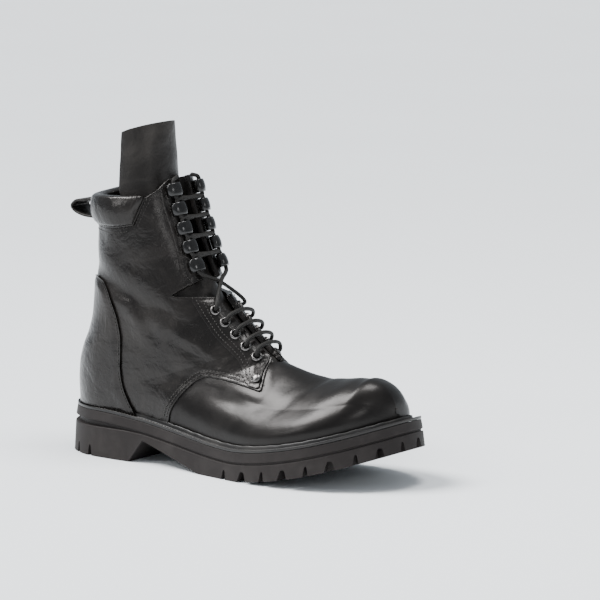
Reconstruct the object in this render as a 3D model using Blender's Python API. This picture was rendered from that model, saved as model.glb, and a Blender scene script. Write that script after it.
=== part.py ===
# Lace-up combat boot, the right one of a pair: a hollow leather upper with facings, speed hooks,
# eyelets and a padded cuff, an inner side zip, and a stacked lug sole with a block heel.
# Frame: +X to the toe, +Z up, outer side at -Y, origin under the middle of the bounding box.

import bpy
import bmesh
import numpy as np
from mathutils import Matrix

mm = 0.001

# Sole
soleLength = 312 * mm
ballWidth = 113 * mm
heelWidth = 78 * mm
heelHeight = 38.2 * mm      # welt above the floor at the heel
ballHeight = 24.0 * mm      # welt above the floor at the ball
toeSpring = 29.6 * mm
weltThick = 2.4 * mm
weltInset = 3.0 * mm
beadHeight = 2.6 * mm       # above the welt's flange
beadWidth = 2.4 * mm
channelDepth = 0.9 * mm
midsoleThick = 7.6 * mm
waistThick = 6.0 * mm
soleFlare = 1.5 * mm        # foot of the lugs beyond the sole's side
heelRecess = 3.2 * mm       # groove round the heel, under the midsole
recessHeight = 4.2 * mm
lineHeight = 1.2 * mm       # the same groove along the forefoot
lugDepth = 7.3 * mm
heelLugDepth = 8.5 * mm
lugReach = 15 * mm
notchNarrow = 4.4 * mm
notchWide = 8.4 * mm
insoleThick = 3.0 * mm
insolePlay = 0.9 * mm
clearance = 0.3 * mm        # between pieces that touch

# Upper
shaftHeight = 166 * mm      # collar above the welt at the back
frontHeight = 185.6 * mm    # collar above the welt at the front
instepHeight = 62.5 * mm    # ridge above the welt at the foot of the throat
vampHeight = 43.6 * mm
toeHeight = 38.6 * mm
collarWidth = 74 * mm
heelRound = 38 * mm         # depth over which the heel and shaft close to their back line
featherInset = 9.5 * mm     # from the sole's edge to the upper
toeInset = 12.5 * mm        # the same at the toe's tip
wall = 2.2 * mm
quarterStep = 1.2 * mm
overlay = 1.4 * mm
throatTop = 20 * mm
throatFoot = 11 * mm

# Sole outline, heel to toe: share of the length, then of the heel's and of the ball's width
outerEdge = [
    (0.000, -0.000, 0.000), (0.030, -0.312, 0.000), (0.099, -0.500, 0.000), (0.195, -0.550, 0.000),
    (0.306, -0.400, -0.107), (0.417, -0.160, -0.301), (0.529, 0.000, -0.465), (0.641, 0.000, -0.516),
    (0.738, 0.000, -0.523), (0.828, 0.000, -0.481), (0.905, 0.000, -0.376), (0.964, 0.000, -0.218),
    (1.000, 0.000, 0.000),
]
innerEdge = [
    (0.000, 0.000, 0.000), (0.030, 0.297, 0.000), (0.097, 0.451, 0.000), (0.193, 0.477, 0.000),
    (0.288, 0.400, 0.035), (0.400, 0.200, 0.181), (0.513, 0.000, 0.363), (0.625, 0.000, 0.434),
    (0.738, 0.000, 0.479), (0.851, 0.000, 0.461), (0.939, 0.000, 0.373), (0.991, 0.000, 0.215),
    (1.000, 0.000, 0.000),
]

# Sections of the upper as lines in the side view, from the back line or the feather edge up to
# the ridge. Lower end: share along the foot, share of the shaft's height. Upper end: share along
# the foot, and its height as a share of the way from instep to front collar, then of the
# instep's, the vamp's and the toe's height.
sectionEnds = [
    (0.064, 1.000, 0.303, 1.001, 1.00, 0.00, 0.00),
    (0.069, 0.880, 0.324, 0.845, 1.00, 0.00, 0.00),
    (0.070, 0.760, 0.347, 0.706, 1.00, 0.00, 0.00),
    (0.065, 0.645, 0.369, 0.588, 1.00, 0.00, 0.00),
    (0.060, 0.540, 0.393, 0.482, 1.00, 0.00, 0.00),
    (0.054, 0.445, 0.422, 0.378, 1.00, 0.00, 0.00),
    (0.040, 0.360, 0.452, 0.302, 1.00, 0.00, 0.00),
    (0.019, 0.277, 0.483, 0.233, 1.00, 0.00, 0.00),
    (0.005, 0.193, 0.516, 0.172, 1.00, 0.00, 0.00),
    (0.000, 0.100, 0.550, 0.113, 1.00, 0.00, 0.00),
    (0.000, 0.000, 0.583, 0.060, 1.00, 0.00, 0.00),
    (0.071, 0.000, 0.607, 0.022, 1.00, 0.00, 0.00),
    (0.174, 0.000, 0.633, 0.000, 0.75, 0.30, 0.00),
    (0.295, 0.000, 0.672, 0.000, 0.50, 0.57, 0.00),
    (0.416, 0.000, 0.716, 0.000, 0.25, 0.82, 0.00),
    (0.526, 0.000, 0.760, 0.000, 0.08, 0.96, 0.00),
    (0.629, 0.000, 0.805, 0.000, 0.00, 1.00, 0.00),
    (0.726, 0.000, 0.847, 0.000, 0.00, 0.55, 0.47),
    (0.812, 0.000, 0.884, 0.000, 0.00, 0.20, 0.83),
    (0.888, 0.000, 0.919, 0.000, 0.00, 0.00, 1.00),
    (0.943, 0.000, 0.952, 0.000, 0.00, 0.00, 0.87),
    (0.978, 0.000, 0.979, 0.000, 0.00, 0.00, 0.65),
    (0.995, 0.000, 0.995, 0.000, 0.00, 0.00, 0.39),
    (1.000, 0.000, 1.000, 0.000, 0.00, 0.00, 0.16),
]
heelRow = 10                # the section that starts at the heel's lower corner
toeRow = len(sectionEnds) - 1

# Shape of the sections: row, outer and inner half width as shares of the collar's width, how
# much of that rules over the sole's outline, where the round top starts, its two powers, bulge
sectionForm = [
    (0, 0.500, 0.486, 1.00, 0.45, 2.2, 2.10, 0.00),
    (1, 0.520, 0.500, 1.00, 0.44, 2.2, 2.10, 0.00),
    (2, 0.531, 0.514, 1.00, 0.43, 2.2, 2.05, 0.00),
    (4, 0.527, 0.507, 1.00, 0.40, 2.3, 2.10, 0.00),
    (6, 0.520, 0.493, 1.00, 0.36, 2.4, 2.15, 0.00),
    (8, 0.520, 0.482, 0.90, 0.28, 2.4, 2.15, 0.01),
    (10, 0.520, 0.480, 0.75, 0.20, 2.3, 2.05, 0.02),
    (12, 0.527, 0.486, 0.50, 0.10, 2.1, 1.80, 0.04),
    (14, 0.540, 0.500, 0.25, 0.03, 2.0, 1.58, 0.07),
    (16, 0.560, 0.520, 0.00, 0.00, 2.0, 1.60, 0.08),
    (18, 0.560, 0.520, 0.00, 0.00, 2.2, 1.75, 0.08),
    (20, 0.560, 0.520, 0.00, 0.00, 2.4, 2.00, 0.06),
    (23, 0.560, 0.520, 0.00, 0.00, 2.4, 2.00, 0.03),
]


def blend(x, low, high):
    t = np.clip((np.asarray(x, float) - low) / (high - low), 0, 1)
    return t * t * (3 - 2 * t)


def alongRows(xs, ys, x):
    # smooth curve through a table's rows that never swings past them
    xs = np.asarray(xs, float)
    ys = np.asarray(ys, float)
    x = np.clip(np.asarray(x, float), xs[0], xs[-1])
    h = np.diff(xs)
    d = np.diff(ys) / h
    m = np.empty(len(xs))
    m[0] = d[0]
    m[-1] = d[-1]
    same = d[:-1] * d[1:] > 0
    a = 2 * h[1:] + h[:-1]
    b = h[1:] + 2 * h[:-1]
    safe = np.where(same, d[:-1], 1), np.where(same, d[1:], 1)
    m[1:-1] = np.where(same, (a + b) / (a / safe[0] + b / safe[1]), 0)
    i = np.clip(np.searchsorted(xs, x) - 1, 0, len(xs) - 2)
    t = (x - xs[i]) / h[i]
    low = (1 + 2 * t) * (1 - t) ** 2 * ys[i] + t * (1 - t) ** 2 * h[i] * m[i]
    return low + t * t * (3 - 2 * t) * ys[i + 1] + t * t * (t - 1) * h[i] * m[i + 1]


def roundCurve(points, count, closed=False):
    # smooth curve through points, evenly spaced
    p = np.asarray(points, float)
    if closed:
        p = np.vstack([p[-2:], p, p[:2]]) if np.linalg.norm(p[0] - p[-1]) > 1e-9 else \
            np.vstack([p[-3:-1], p, p[1:3]])
    k = np.r_[0, np.cumsum(np.sqrt(np.linalg.norm(np.diff(p, axis=0), axis=1)))]
    m = np.gradient(p, k, axis=0)
    first, last = (k[2], k[-3]) if closed else (k[0], k[-1])
    s = np.linspace(first, last, max(400, 4 * count))
    i = np.clip(np.searchsorted(k, s) - 1, 0, len(k) - 2)
    h = (k[i + 1] - k[i])[:, None]
    t = (s - k[i])[:, None] / h
    c = (1 + 2 * t) * (1 - t) ** 2 * p[i] + t * (1 - t) ** 2 * h * m[i]
    c = c + t * t * (3 - 2 * t) * p[i + 1] + t * t * (t - 1) * h * m[i + 1]
    run = np.r_[0, np.cumsum(np.linalg.norm(np.diff(c, axis=0), axis=1))]
    even = np.linspace(0, run[-1], count)
    return np.stack([np.interp(even, run, c[:, j]) for j in range(c.shape[1])], -1)


def soleOutline(inset, count=241):
    # closed outline, outer side heel to toe and back along the inner side
    rows = [(s * soleLength, a * heelWidth + b * ballWidth) for s, a, b in outerEdge]
    rows += [(s * soleLength, a * heelWidth + b * ballWidth) for s, a, b in innerEdge[-2::-1]]
    c = roundCurve(rows, count, closed=True)[:-1]
    c[:, 0] -= c[:, 0].min()
    c[:, 0] *= soleLength / c[:, 0].max()
    d = np.roll(c, -1, 0) - np.roll(c, 1, 0)
    d /= np.linalg.norm(d, axis=1)[:, None]
    return c + inset * np.stack([-d[:, 1], d[:, 0]], -1)


def soleEdges(inset):
    # half widths of the outline as two functions of x, with the x of heel and toe
    c = soleOutline(inset, 961)
    low = c[np.argmin(c[:, 0])]
    high = c[np.argmax(c[:, 0])]
    middle = lambda x: np.interp(x, [low[0], high[0]], [low[1], high[1]])
    outer = c[c[:, 1] <= middle(c[:, 0])]
    inner = c[c[:, 1] >= middle(c[:, 0])]
    outer = outer[np.argsort(outer[:, 0])]
    inner = inner[np.argsort(inner[:, 0])]
    return (lambda x: np.interp(x, outer[:, 0], outer[:, 1]),
            lambda x: np.interp(x, inner[:, 0], inner[:, 1]), low[0], high[0])


def spring(x):
    # how far the tread lifts off the floor towards the toe
    s = np.clip((x / soleLength - 0.577) / 0.423, 0, None)
    return toeSpring * s ** 1.7


def weltTop(x):
    # top of the welt above the floor: heel seat, ramp through the arch, ball and toe
    s = x / soleLength
    return heelHeight + (ballHeight - heelHeight) * blend(s, 0.125, 0.600) + spring(x)


footStart = featherInset
footLength = soleLength - featherInset - toeInset
featherOuter, featherInner, featherHeel, featherToe = soleEdges(featherInset)


def column(table, index, row):
    return alongRows([r[0] for r in table], [r[index] for r in table], row)


def sectionLine(row):
    # lower and upper end of a section's line in the side view
    number = np.arange(len(sectionEnds))
    t = np.array(sectionEnds)
    back = row <= heelRow
    lowX = np.where(back, alongRows(number[:heelRow + 1], t[:heelRow + 1, 0], row),
                    alongRows(number[heelRow:], t[heelRow:, 0], row))
    lowX = footStart + footLength * lowX
    share = alongRows(number[:heelRow + 1], t[:heelRow + 1, 1], row)
    base = clearance - weltThick
    lowZ = weltTop(lowX) + base + (shaftHeight - base) * np.where(back, share, 0)
    highX = footStart + footLength * alongRows(number, t[:, 2], row)
    high = [alongRows(number, t[:, j], row) for j in (3, 4, 5, 6)]
    height = (frontHeight - instepHeight) * high[0] + instepHeight * high[1]
    height = height + vampHeight * high[2] + toeHeight * high[3]
    return lowX, lowZ, highX, weltTop(highX) + height


def backLine(z):
    # x of the back line at a height
    row = np.linspace(0, heelRow, 801)
    x, height, _, _ = sectionLine(row)
    return np.interp(z, height[::-1], x[::-1])


def upperPoint(row, v):
    # the upper's outer surface. row runs from the collar (0) to the toe, v from the outer side's
    # lower edge (-1) over the ridge (0) to the inner side's lower edge (1)
    row, v = np.broadcast_arrays(np.asarray(row, float), np.asarray(v, float))
    lowX, lowZ, highX, highZ = sectionLine(row)
    a = np.abs(v)
    foot = blend(row, heelRow + 1, heelRow + 5)
    t = (1 - foot) * (1 + np.cos(np.pi * a)) / 2 + foot * (1 - np.clip(a, 0, 1) ** 1.7)
    x = lowX + t * (highX - lowX)
    z = lowZ + t * (highZ - lowZ)
    outer = v < 0
    widest = collarWidth * np.where(outer, column(sectionForm, 1, row), column(sectionForm, 2, row))
    flat = featherHeel + (x - footStart) * (featherToe - featherHeel) / footLength
    flat = np.clip(flat, 0.2 * soleLength, featherToe)
    sole = np.where(outer, -featherOuter(flat), featherInner(flat))
    rules = column(sectionForm, 3, row)
    low = blend(row, heelRow - 3, heelRow + 1)
    rules = rules * (1 - low * (1 - blend(t, 0, 0.45)))
    half = sole + rules * (widest - sole)
    start = column(sectionForm, 4, row)
    s = np.clip((t - start) / (1 - start), 0, 1)
    top = (1 - s ** column(sectionForm, 5, row)) ** (1 / column(sectionForm, 6, row))
    swell = 1 + column(sectionForm, 7, row) * np.sin(np.pi * np.clip(t / 0.62, 0, 1))
    back = np.clip((x - backLine(z)) / heelRound, 0, 1)
    round_ = (1 - (1 - back) ** 2.1) ** (1 / 2.1)
    y = half * top * swell * round_
    return np.stack([x, np.where(outer, -y, y), z], -1)


def upperSlope(row, v):
    r = np.clip(row, 0.02, toeRow - 0.12)
    w = np.where(v < 0, -1, 1) * np.minimum(np.abs(v), np.where(row < heelRow + 0.03, 0.95, 0.985))
    du = upperPoint(r + 0.02, w) - upperPoint(r - 0.02, w)
    dv = upperPoint(r, w + 0.012) - upperPoint(r, w - 0.012)
    n = np.cross(du, dv)
    return n / np.linalg.norm(n, axis=-1)[..., None]


def upperFrame(row, v):
    # point and outward normal. Where the two sides meet, the normal is their mean
    row, v = np.broadcast_arrays(np.asarray(row, float), np.asarray(v, float))
    p = upperPoint(row, v)
    n = upperSlope(row, v)
    other = upperSlope(row, -v)
    shared = (n + other) * [1, 0, 1]
    meets = (np.abs(p - upperPoint(row, -v)).max(-1) < 0.02 * mm)[..., None]
    n = np.where(meets, shared, n)
    return p, n / np.linalg.norm(n, axis=-1)[..., None]


def upperLayer(row, v, offset):
    p, n = upperFrame(row, v)
    return p + n * np.asarray(offset)[..., None]


# Building of solids


def material(name, colour, roughness, metallic=0.0):
    made = bpy.data.materials.new(name)
    made.use_nodes = True
    shader = made.node_tree.nodes["Principled BSDF"]
    shader.inputs["Base Color"].default_value = (*colour, 1)
    shader.inputs["Roughness"].default_value = roughness
    shader.inputs["Metallic"].default_value = metallic
    return made


def solid(name, points, faces, surface, smooth=True):
    # one closed body from points and faces, with doubled points joined and faces turned outwards
    mesh = bpy.data.meshes.new(name)
    mesh.from_pydata([tuple(p) for p in np.reshape(points, (-1, 3))], [], faces)
    work = bmesh.new()
    work.from_mesh(mesh)
    bmesh.ops.remove_doubles(work, verts=work.verts, dist=0.004 * mm)
    bmesh.ops.dissolve_degenerate(work, edges=work.edges, dist=0.004 * mm)
    bmesh.ops.recalc_face_normals(work, faces=work.faces)
    if work.calc_volume(signed=True) < 0:
        bmesh.ops.reverse_faces(work, faces=work.faces)
    work.to_mesh(mesh)
    work.free()
    if smooth:
        mesh.shade_smooth()
        mesh.set_sharp_from_angle(angle=np.radians(40))
    made = bpy.data.objects.new(name, mesh)
    bpy.context.scene.collection.objects.link(made)
    made.parent = boot
    if surface:
        mesh.materials.append(surface)
    return made


def gridFaces(rows, columns, start=0, turn=False, closed=False):
    faces = []
    for i in range(rows - 1):
        for j in range(columns if closed else columns - 1):
            a = start + i * columns + j
            b = start + i * columns + (j + 1) % columns
            for face in ((a, b, b + columns), (a, b + columns, a + columns)):
                faces.append(face[::-1] if turn else face)
    return faces


def slab(name, high, low, surface):
    # closed body between two grids of points that share their layout. Where two stretches of the
    # rim lie on each other, as down a back line, they are sewn together and get no wall
    rows, columns = high.shape[:2]
    count = rows * columns
    faces = gridFaces(rows, columns) + gridFaces(rows, columns, count, True)
    rim = [(i, 0) for i in range(rows)] + [(rows - 1, j) for j in range(1, columns)]
    rim += [(i, columns - 1) for i in range(rows - 2, -1, -1)]
    rim += [(0, j) for j in range(columns - 2, 0, -1)]
    rim = [i * columns + j for i, j in rim]
    flat = high.reshape(-1, 3)
    pairs = np.array([(a, b) for a, b in zip(rim, rim[1:] + rim[:1])
                      if np.linalg.norm(flat[a] - flat[b]) > 0.02 * mm])
    middle = (flat[pairs[:, 0]] + flat[pairs[:, 1]]) / 2
    apart = np.linalg.norm(middle[:, None] - middle[None], axis=2) > 0.02 * mm
    for (a, b), alone in zip(pairs, apart.sum(1) == len(pairs) - 1):
        if alone:
            faces.append((a, b, b + count, a + count))
    return solid(name, np.concatenate([high.reshape(-1, 3), low.reshape(-1, 3)]), faces, surface)


def rings(name, points, surface, ends="caps", smooth=True):
    # closed body from rings of points: capped at both ends, a ring of rings, or ends that close
    # by themselves
    count, around = points.shape[:2]
    faces = gridFaces(count, around, closed=True)
    if ends == "caps":
        faces.append(tuple(range(around))[::-1])
        faces.append(tuple((count - 1) * around + k for k in range(around)))
    elif ends == "ring":
        last = (count - 1) * around
        for k in range(around):
            m = (k + 1) % around
            faces.append((last + k, last + m, m, k))
    return solid(name, points, faces, surface, smooth)


def cutter(made):
    made.hide_render = True
    made.display_type = "WIRE"
    return made


def keepBody(mesh):
    # slivers that a cut leaves loose are taken off, so that one body stays
    work = bmesh.new()
    work.from_mesh(mesh)
    left = set(work.faces)
    bodies = []
    while left:
        body = [left.pop()]
        for face in body:
            for edge in face.edges:
                near = [other for other in edge.link_faces if other in left]
                left.difference_update(near)
                body += near
        bodies.append(body)
    bodies.sort(key=len)
    loose = [face for body in bodies[:-1] for face in body]
    bmesh.ops.delete(work, geom=loose, context="FACES")
    work.to_mesh(mesh)
    work.free()


def combine(target, others, operation, solver="EXACT"):
    # apply Boolean steps one by one and leave the target as one mesh
    for other in others:
        step = target.modifiers.new(operation.lower(), "BOOLEAN")
        step.operation = operation
        step.solver = solver
        step.object = other
        bpy.context.view_layer.update()
        seen = target.evaluated_get(bpy.context.evaluated_depsgraph_get())
        mesh = bpy.data.meshes.new_from_object(seen)
        target.modifiers.clear()
        target.data = mesh
    keepBody(target.data)
    target.data.shade_smooth()
    target.data.set_sharp_from_angle(angle=np.radians(40))
    for other in others:
        bpy.data.objects.remove(other)
    return target


def sideCutter(outline, low, high):
    # prism with an outline in the side view, from y = low to y = high
    points = np.array([(x, y, z) for y in (low, high) for x, z in outline])
    count = len(outline)
    faces = [tuple(range(count)), tuple(range(2 * count - 1, count - 1, -1))]
    for k in range(count):
        m = (k + 1) % count
        faces.append((k, m, m + count, k + count))
    return cutter(solid("cut", points, faces, None, False))


def sideView(points):
    # outline points given as share along the foot and share of the shaft's height
    out = []
    for s, h in points:
        x = footStart + footLength * s
        out.append((x, weltTop(x) + shaftHeight * h))
    return out


for old in list(bpy.data.objects):
    bpy.data.objects.remove(old)

boot = bpy.data.objects.new("boot", None)
bpy.context.scene.collection.objects.link(boot)

leather = material("leather", (0.022, 0.020, 0.019), 0.38)
lining = material("lining", (0.055, 0.048, 0.042), 0.75)
rubber = material("rubber", (0.030, 0.029, 0.029), 0.72)
weltLeather = material("welt", (0.035, 0.032, 0.030), 0.55)
blackMetal = material("blackMetal", (0.030, 0.030, 0.032), 0.18, 1.0)
steel = material("steel", (0.60, 0.59, 0.57), 0.25, 1.0)
gunmetal = material("gunmetal", (0.16, 0.155, 0.15), 0.28, 1.0)
cord = material("cord", (0.028, 0.026, 0.025), 0.70)
tape = material("tape", (0.025, 0.025, 0.025), 0.85)


# Upper: one hollow body, open at the collar, along the throat and above the insole
shellRows = np.array([0, 1.5, 3, 4.5, 6, 7.4, 8.7, 10, 10.06, 10.2, 10.45, 10.8, 11.3, 12, 13, 14, 15, 16,
                      17, 18, 19, 19.8, 20.5, 21.2, 21.8, 22.3, 22.7, 23])
shellSteps = np.linspace(-1, 1, 25)


def layerSlab(name, low, high, surface, rows=shellRows, steps=shellSteps):
    r, v = rows[:, None], steps[None, :]
    return slab(name, upperLayer(r, v, high), upperLayer(r, v, low), surface)


def onFacets(row, v, offset):
    # a layer that lies on the straight stretches between the shell's own sections
    k = np.clip(np.searchsorted(shellRows, row) - 1, 0, len(shellRows) - 2)
    w = ((row - shellRows[k]) / (shellRows[k + 1] - shellRows[k]))[..., None]
    return (1 - w) * upperLayer(shellRows[k], v, offset) + w * upperLayer(shellRows[k + 1], v, offset)


def weltEdge(first, last, height, count=6):
    # side-view points that follow the top of the welt, between two shares of the foot
    return [(s, height / shaftHeight) for s in np.linspace(first, last, count)]


aboveBead = beadHeight + 2 * clearance
seam = [(0.363, 0.066), (0.380, 0.121), (0.409, 0.192), (0.440, 0.250), (0.464, 0.267), (0.542, 0.272),
        (0.607, 0.258), (0.637, 0.243)]
quarterSide = weltEdge(-0.1, 0.358, aboveBead) + seam + [(0.607, 0.412), (0.700, 1.600), (-0.1, 1.600)]
counterSide = weltEdge(-0.1, 0.240, aboveBead) + [
    (0.223, 0.064), (0.207, 0.131), (0.201, 0.210), (0.206, 0.353), (0.188, 0.470), (0.169, 0.566),
    (0.146, 0.603), (0.060, 0.640), (-0.1, 0.640)]
stay = [(0.578, 0.289), (0.566, 0.320), (0.550, 0.359), (0.521, 0.397), (0.479, 0.449), (0.435, 0.522),
        (0.404, 0.588)]
lowerFacingSide = [(0.632, 0.252)] + stay + [(0.400, 0.603), (0.470, 0.612), (0.560, 0.700), (0.700, 0.700),
                                            (0.605, 0.406)]
upperFacingSide = [(0.405, 0.690), (0.387, 0.655), (0.368, 0.690), (0.321, 0.906), (0.292, 1.049),
                   (0.275, 1.300), (0.400, 1.300), (0.560, 0.690)]
notchSide = [(0.352, 0.601), (0.356, 0.612), (0.400, 0.682), (0.560, 0.830), (0.560, 0.630),
             (0.465, 0.613), (0.400, 0.604), (0.356, 0.594)]
wide = 100 * mm             # reach of the cutters to either side


throatEnd = 11.6            # section row of the throat's foot


def throatCutter():
    # a channel swept along the ridge, from above the collar to the foot of the throat
    row = np.array([0, 1, 2, 3.3, 4.6, 5.8, 7, 8, 9, 10, 11, throatEnd])
    p, n = upperFrame(row, 0 * row)
    half = (throatTop + (throatFoot - throatTop) * row / throatEnd) / 2
    p[0] += (p[0] - p[1]) * 0.3
    ring = []
    for side, rise in ((-1, -16 * mm), (1, -16 * mm), (1, 12 * mm), (-1, 12 * mm)):
        q = p + n * rise
        q[:, 1] += side * half
        ring.append(q)
    return cutter(rings("throatCut", np.stack(ring, 1), None, smooth=False))


# the zip's path down the inner side: section row, share of the way from back to front
zipPath = [(0.0, 0.430), (1.0, 0.453), (2.0, 0.464), (3.0, 0.467), (4.0, 0.457), (5.0, 0.437), (6.0, 0.424),
           (7.0, 0.413), (8.0, 0.393)]
zipRows = 8.0
zipSlot = 9.0 * mm
zipTape = 8.2 * mm
zipTeeth = 5.2 * mm


def zipFrame(row):
    # points down the zip with their outward normal and the direction across it
    t = column(zipPath, 1, row)
    v = np.arccos(2 * t - 1) / np.pi
    p, n = upperFrame(row, v)
    run = np.gradient(p, axis=0)
    across = np.cross(n, run)
    return p, n, across / np.linalg.norm(across, axis=1)[:, None]


def zipStrip(name, rows, width, low, high, surface, lift=0.0):
    p, n, across = zipFrame(rows)
    if lift:
        p[0] += (p[0] - p[1]) * lift
    ring = [p + n * o + across * w for w, o in
            ((-width / 2, low), (-width / 2, high), (width / 2, high), (width / 2, low))]
    return rings(name, np.stack(ring, 1), surface)


upper = layerSlab("upper", -wall, 0.0, leather)
quarter = layerSlab("quarterLayer", -0.6 * wall, quarterStep, leather)
quarter = combine(quarter, [sideCutter(sideView(quarterSide), -wide, wide)], "INTERSECT", "MANIFOLD")
combine(upper, [quarter], "UNION", "MANIFOLD")
slot = zipStrip("zipCut", np.linspace(0, zipRows, 22), zipSlot, -8 * mm, 8 * mm, None, lift=0.5)
notch = sideCutter(sideView(notchSide), -wide, wide)
combine(upper, [throatCutter(), notch, cutter(slot)], "DIFFERENCE", "MANIFOLD")

# Overlays of the upper: counter round the heel and the four facings
low = quarterStep + clearance
backRows = shellRows[shellRows < 13.5]
counter = layerSlab("heel_counter", low, low + overlay, leather, backRows)
combine(counter, [sideCutter(sideView(counterSide), -wide, wide)], "INTERSECT", "MANIFOLD")
frontRows = shellRows[shellRows < 15]
frontSteps = shellSteps[np.abs(shellSteps) < 0.62]
for name, outline, down, up in (
        ("facing_lower_outer", lowerFacingSide, -wide, 0), ("facing_lower_inner", lowerFacingSide, 0, wide),
        ("facing_upper_outer", upperFacingSide, -wide, 0), ("facing_upper_inner", upperFacingSide, 0, wide)):
    facing = layerSlab(name, low, low + overlay, leather, frontRows, frontSteps)
    combine(facing, [sideCutter(sideView(outline), down, up)], "INTERSECT", "MANIFOLD")
    combine(facing, [throatCutter()], "DIFFERENCE", "MANIFOLD")

# Cuff: a padded band round the back of the collar, from the outer facing to the zip
cuffRow = 1.16              # section row of its lower edge at the back
cuffDip = 0.34              # how much further down its front corner reaches
cuffPuff = 4.6 * mm
cuffFrontOuter = (0.300, 0.400)
cuffFrontInner = (0.600, 0.590)


def cuffGrid(outer):
    s = np.linspace(0, 1, 9)[:, None]
    # the columns between its ends stand over those of the upper
    outerSteps = shellSteps[(shellSteps < -cuffFrontOuter[1] - 0.02)][::-1]
    innerSteps = shellSteps[(shellSteps > cuffFrontInner[0] + 0.02) & (shellSteps < 0.99)][::-1]
    steps = np.r_[outerSteps, innerSteps][None, :] + 0 * s
    startOuter = cuffFrontOuter[0] + (cuffFrontOuter[1] - cuffFrontOuter[0]) * s
    startInner = cuffFrontInner[0] + (cuffFrontInner[1] - cuffFrontInner[0]) * s
    between = [-startOuter + (startOuter + steps[:, :1]) * share for share in (0.33, 0.67)]
    v = np.concatenate([-startOuter] + between + [steps, startInner], 1)
    row = 0.02 + s * (cuffRow + cuffDip * blend(v, -0.85, -0.45))
    row = np.where(v > 0, 0.02 + s * cuffRow, row)
    if not outer:
        return onFacets(row, v, low)
    ends = np.ones(v.shape[1])
    ends[0] = ends[-1] = 0
    puff = cuffPuff * (1 - np.abs(2 * s - 1) ** 3.2) ** 0.6 * ends[None, :]
    return upperLayer(row, v, low + 0.9 * mm + puff)


slab("cuff", cuffGrid(True), cuffGrid(False), leather)

# Tongue: a curved strip behind the facings that stands up above the collar
tongueThick = 2.2 * mm
tongueRise = 44.5 * mm        # above the front of the collar
tongueCrown = 2.0 * mm      # how much higher its middle stands than its sides
tongueBend = 28 * mm        # how far behind the ridge its free end curls about
# row (negative above the collar), half width as a share of the section, mm behind the surface
tongueRows = [(-2.0, 0.60, 9.5), (0.0, 0.57, 9.5), (1.0, 0.47, 9.0), (2.0, 0.44, 8.0), (3.3, 0.40, 6.5),
              (4.6, 0.36, 5.0), (7.0, 0.33, 3.9), (10.0, 0.30, 3.0), (12.0, 0.27, 2.6)]


def tongueGrid(extra):
    row = np.array([-2, -1, 0, 1, 2, 3, 4.3, 5.6, 7, 8.4, 9.7, 11, 12])[:, None]
    v = np.linspace(-1, 1, 11)[None, :] * column(tongueRows, 1, row)
    depth = column(tongueRows, 2, row) * mm + extra
    p = upperLayer(np.maximum(row, 0), v, -depth)
    up = np.clip(-row / 2, 0, 1) + 0 * v
    middle = p[:, :, 0].max(axis=1, keepdims=True) - tongueBend
    p[:, :, 0] = middle + (p[:, :, 0] - middle) * (1 - 0.13 * up) + 1.0 * mm * up
    p[:, :, 1] *= 1 - 0.15 * up
    crown = (np.cos(v / 0.5 * np.pi / 2) - 1) * tongueCrown
    collarTop = sectionLine(0.0)[3]
    p[:, :, 2] += up * (tongueRise + crown) + up * 0.2 * (collarTop - p[:, :, 2])
    return p


slab("tongue", tongueGrid(0.0), tongueGrid(tongueThick), leather)

# Welt: a flange round the upper with a raised bead and a stitched channel
footRows = shellRows[shellRows >= heelRow]


def featherRing(offset):
    # the upper's lower edge, outer side from heel to toe and back along the inner side
    ring = [upperLayer(footRows, side + 0 * footRows, offset) for side in (-1, 1)]
    return np.vstack([ring[0], ring[1][-2:0:-1]])


def wallAbove(foot, height, offset):
    # points of the upper's wall straight above its lower edge
    row, v = np.meshgrid(np.linspace(heelRow - 1.5, toeRow, 300), np.r_[-1:-0.55:80j, 0.55:1:80j])
    p = upperPoint(row, v).reshape(-1, 3)
    out = []
    for q in foot + [0, 0, height]:
        k = np.argmin(np.linalg.norm((p - q) * [1, 1, 3], axis=1))
        out.append(upperLayer(row.reshape(-1)[k], v.reshape(-1)[k], np.array(offset)))
    return np.array(out)


def weltRing():
    base = clearance - weltThick
    foot = featherRing(clearance)
    head = wallAbove(featherRing(0.0), beadHeight + weltThick - clearance, 1.6 * clearance)
    edge = soleOutline(weltInset, 1601)
    near = np.argmin(np.linalg.norm(foot[:, None, :2] - edge[None], axis=2), axis=1)
    rim = edge[near]
    level = weltTop(foot[:, 0])
    out = rim - head[:, :2]
    reach = np.linalg.norm(out, axis=1)[:, None]
    out = out / reach
    ground = lambda xy, h: np.c_[xy, weltTop(xy[:, 0]) + h]
    bead = head[:, :2]
    return np.stack([
        np.c_[foot[:, :2], level + base],
        ground(bead, beadHeight - 0.7 * mm),
        ground(bead + out * 0.8 * mm, beadHeight),
        ground(bead + out * 1.9 * mm, beadHeight - 1.1 * mm),
        ground(bead + out * beadWidth, -channelDepth),
        ground(bead + out * (reach - 1.0 * mm), -channelDepth),
        ground(bead + out * (reach - 0.5 * mm), 0),
        ground(rim, 0),
        ground(rim, base)], 1)


rings("welt", weltRing(), weltLeather, ends="ring")

# Insole: a plate inside the upper, on the midsole
def insoleRings():
    out = []
    for r in footRows:
        a = upperLayer(np.array(r), np.array(-1.0), np.array(-wall - insolePlay))
        b = upperLayer(np.array(r), np.array(1.0), np.array(-wall - insolePlay))
        z = weltTop(a[0]) - weltThick + clearance, weltTop(b[0]) - weltThick + clearance
        out.append([(a[0], a[1], z[0] + insoleThick), (b[0], b[1], z[1] + insoleThick),
                    (b[0], b[1], z[1]), (a[0], a[1], z[0])])
    return np.array(out)


rings("insole", insoleRings(), lining, ends="none")

# Sole: midsole and lugged outsole, built as rings across the foot
edgeStep = 10 * mm
edgeFull = soleEdges(0.0)
edgeInset = soleEdges(edgeStep)


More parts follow.
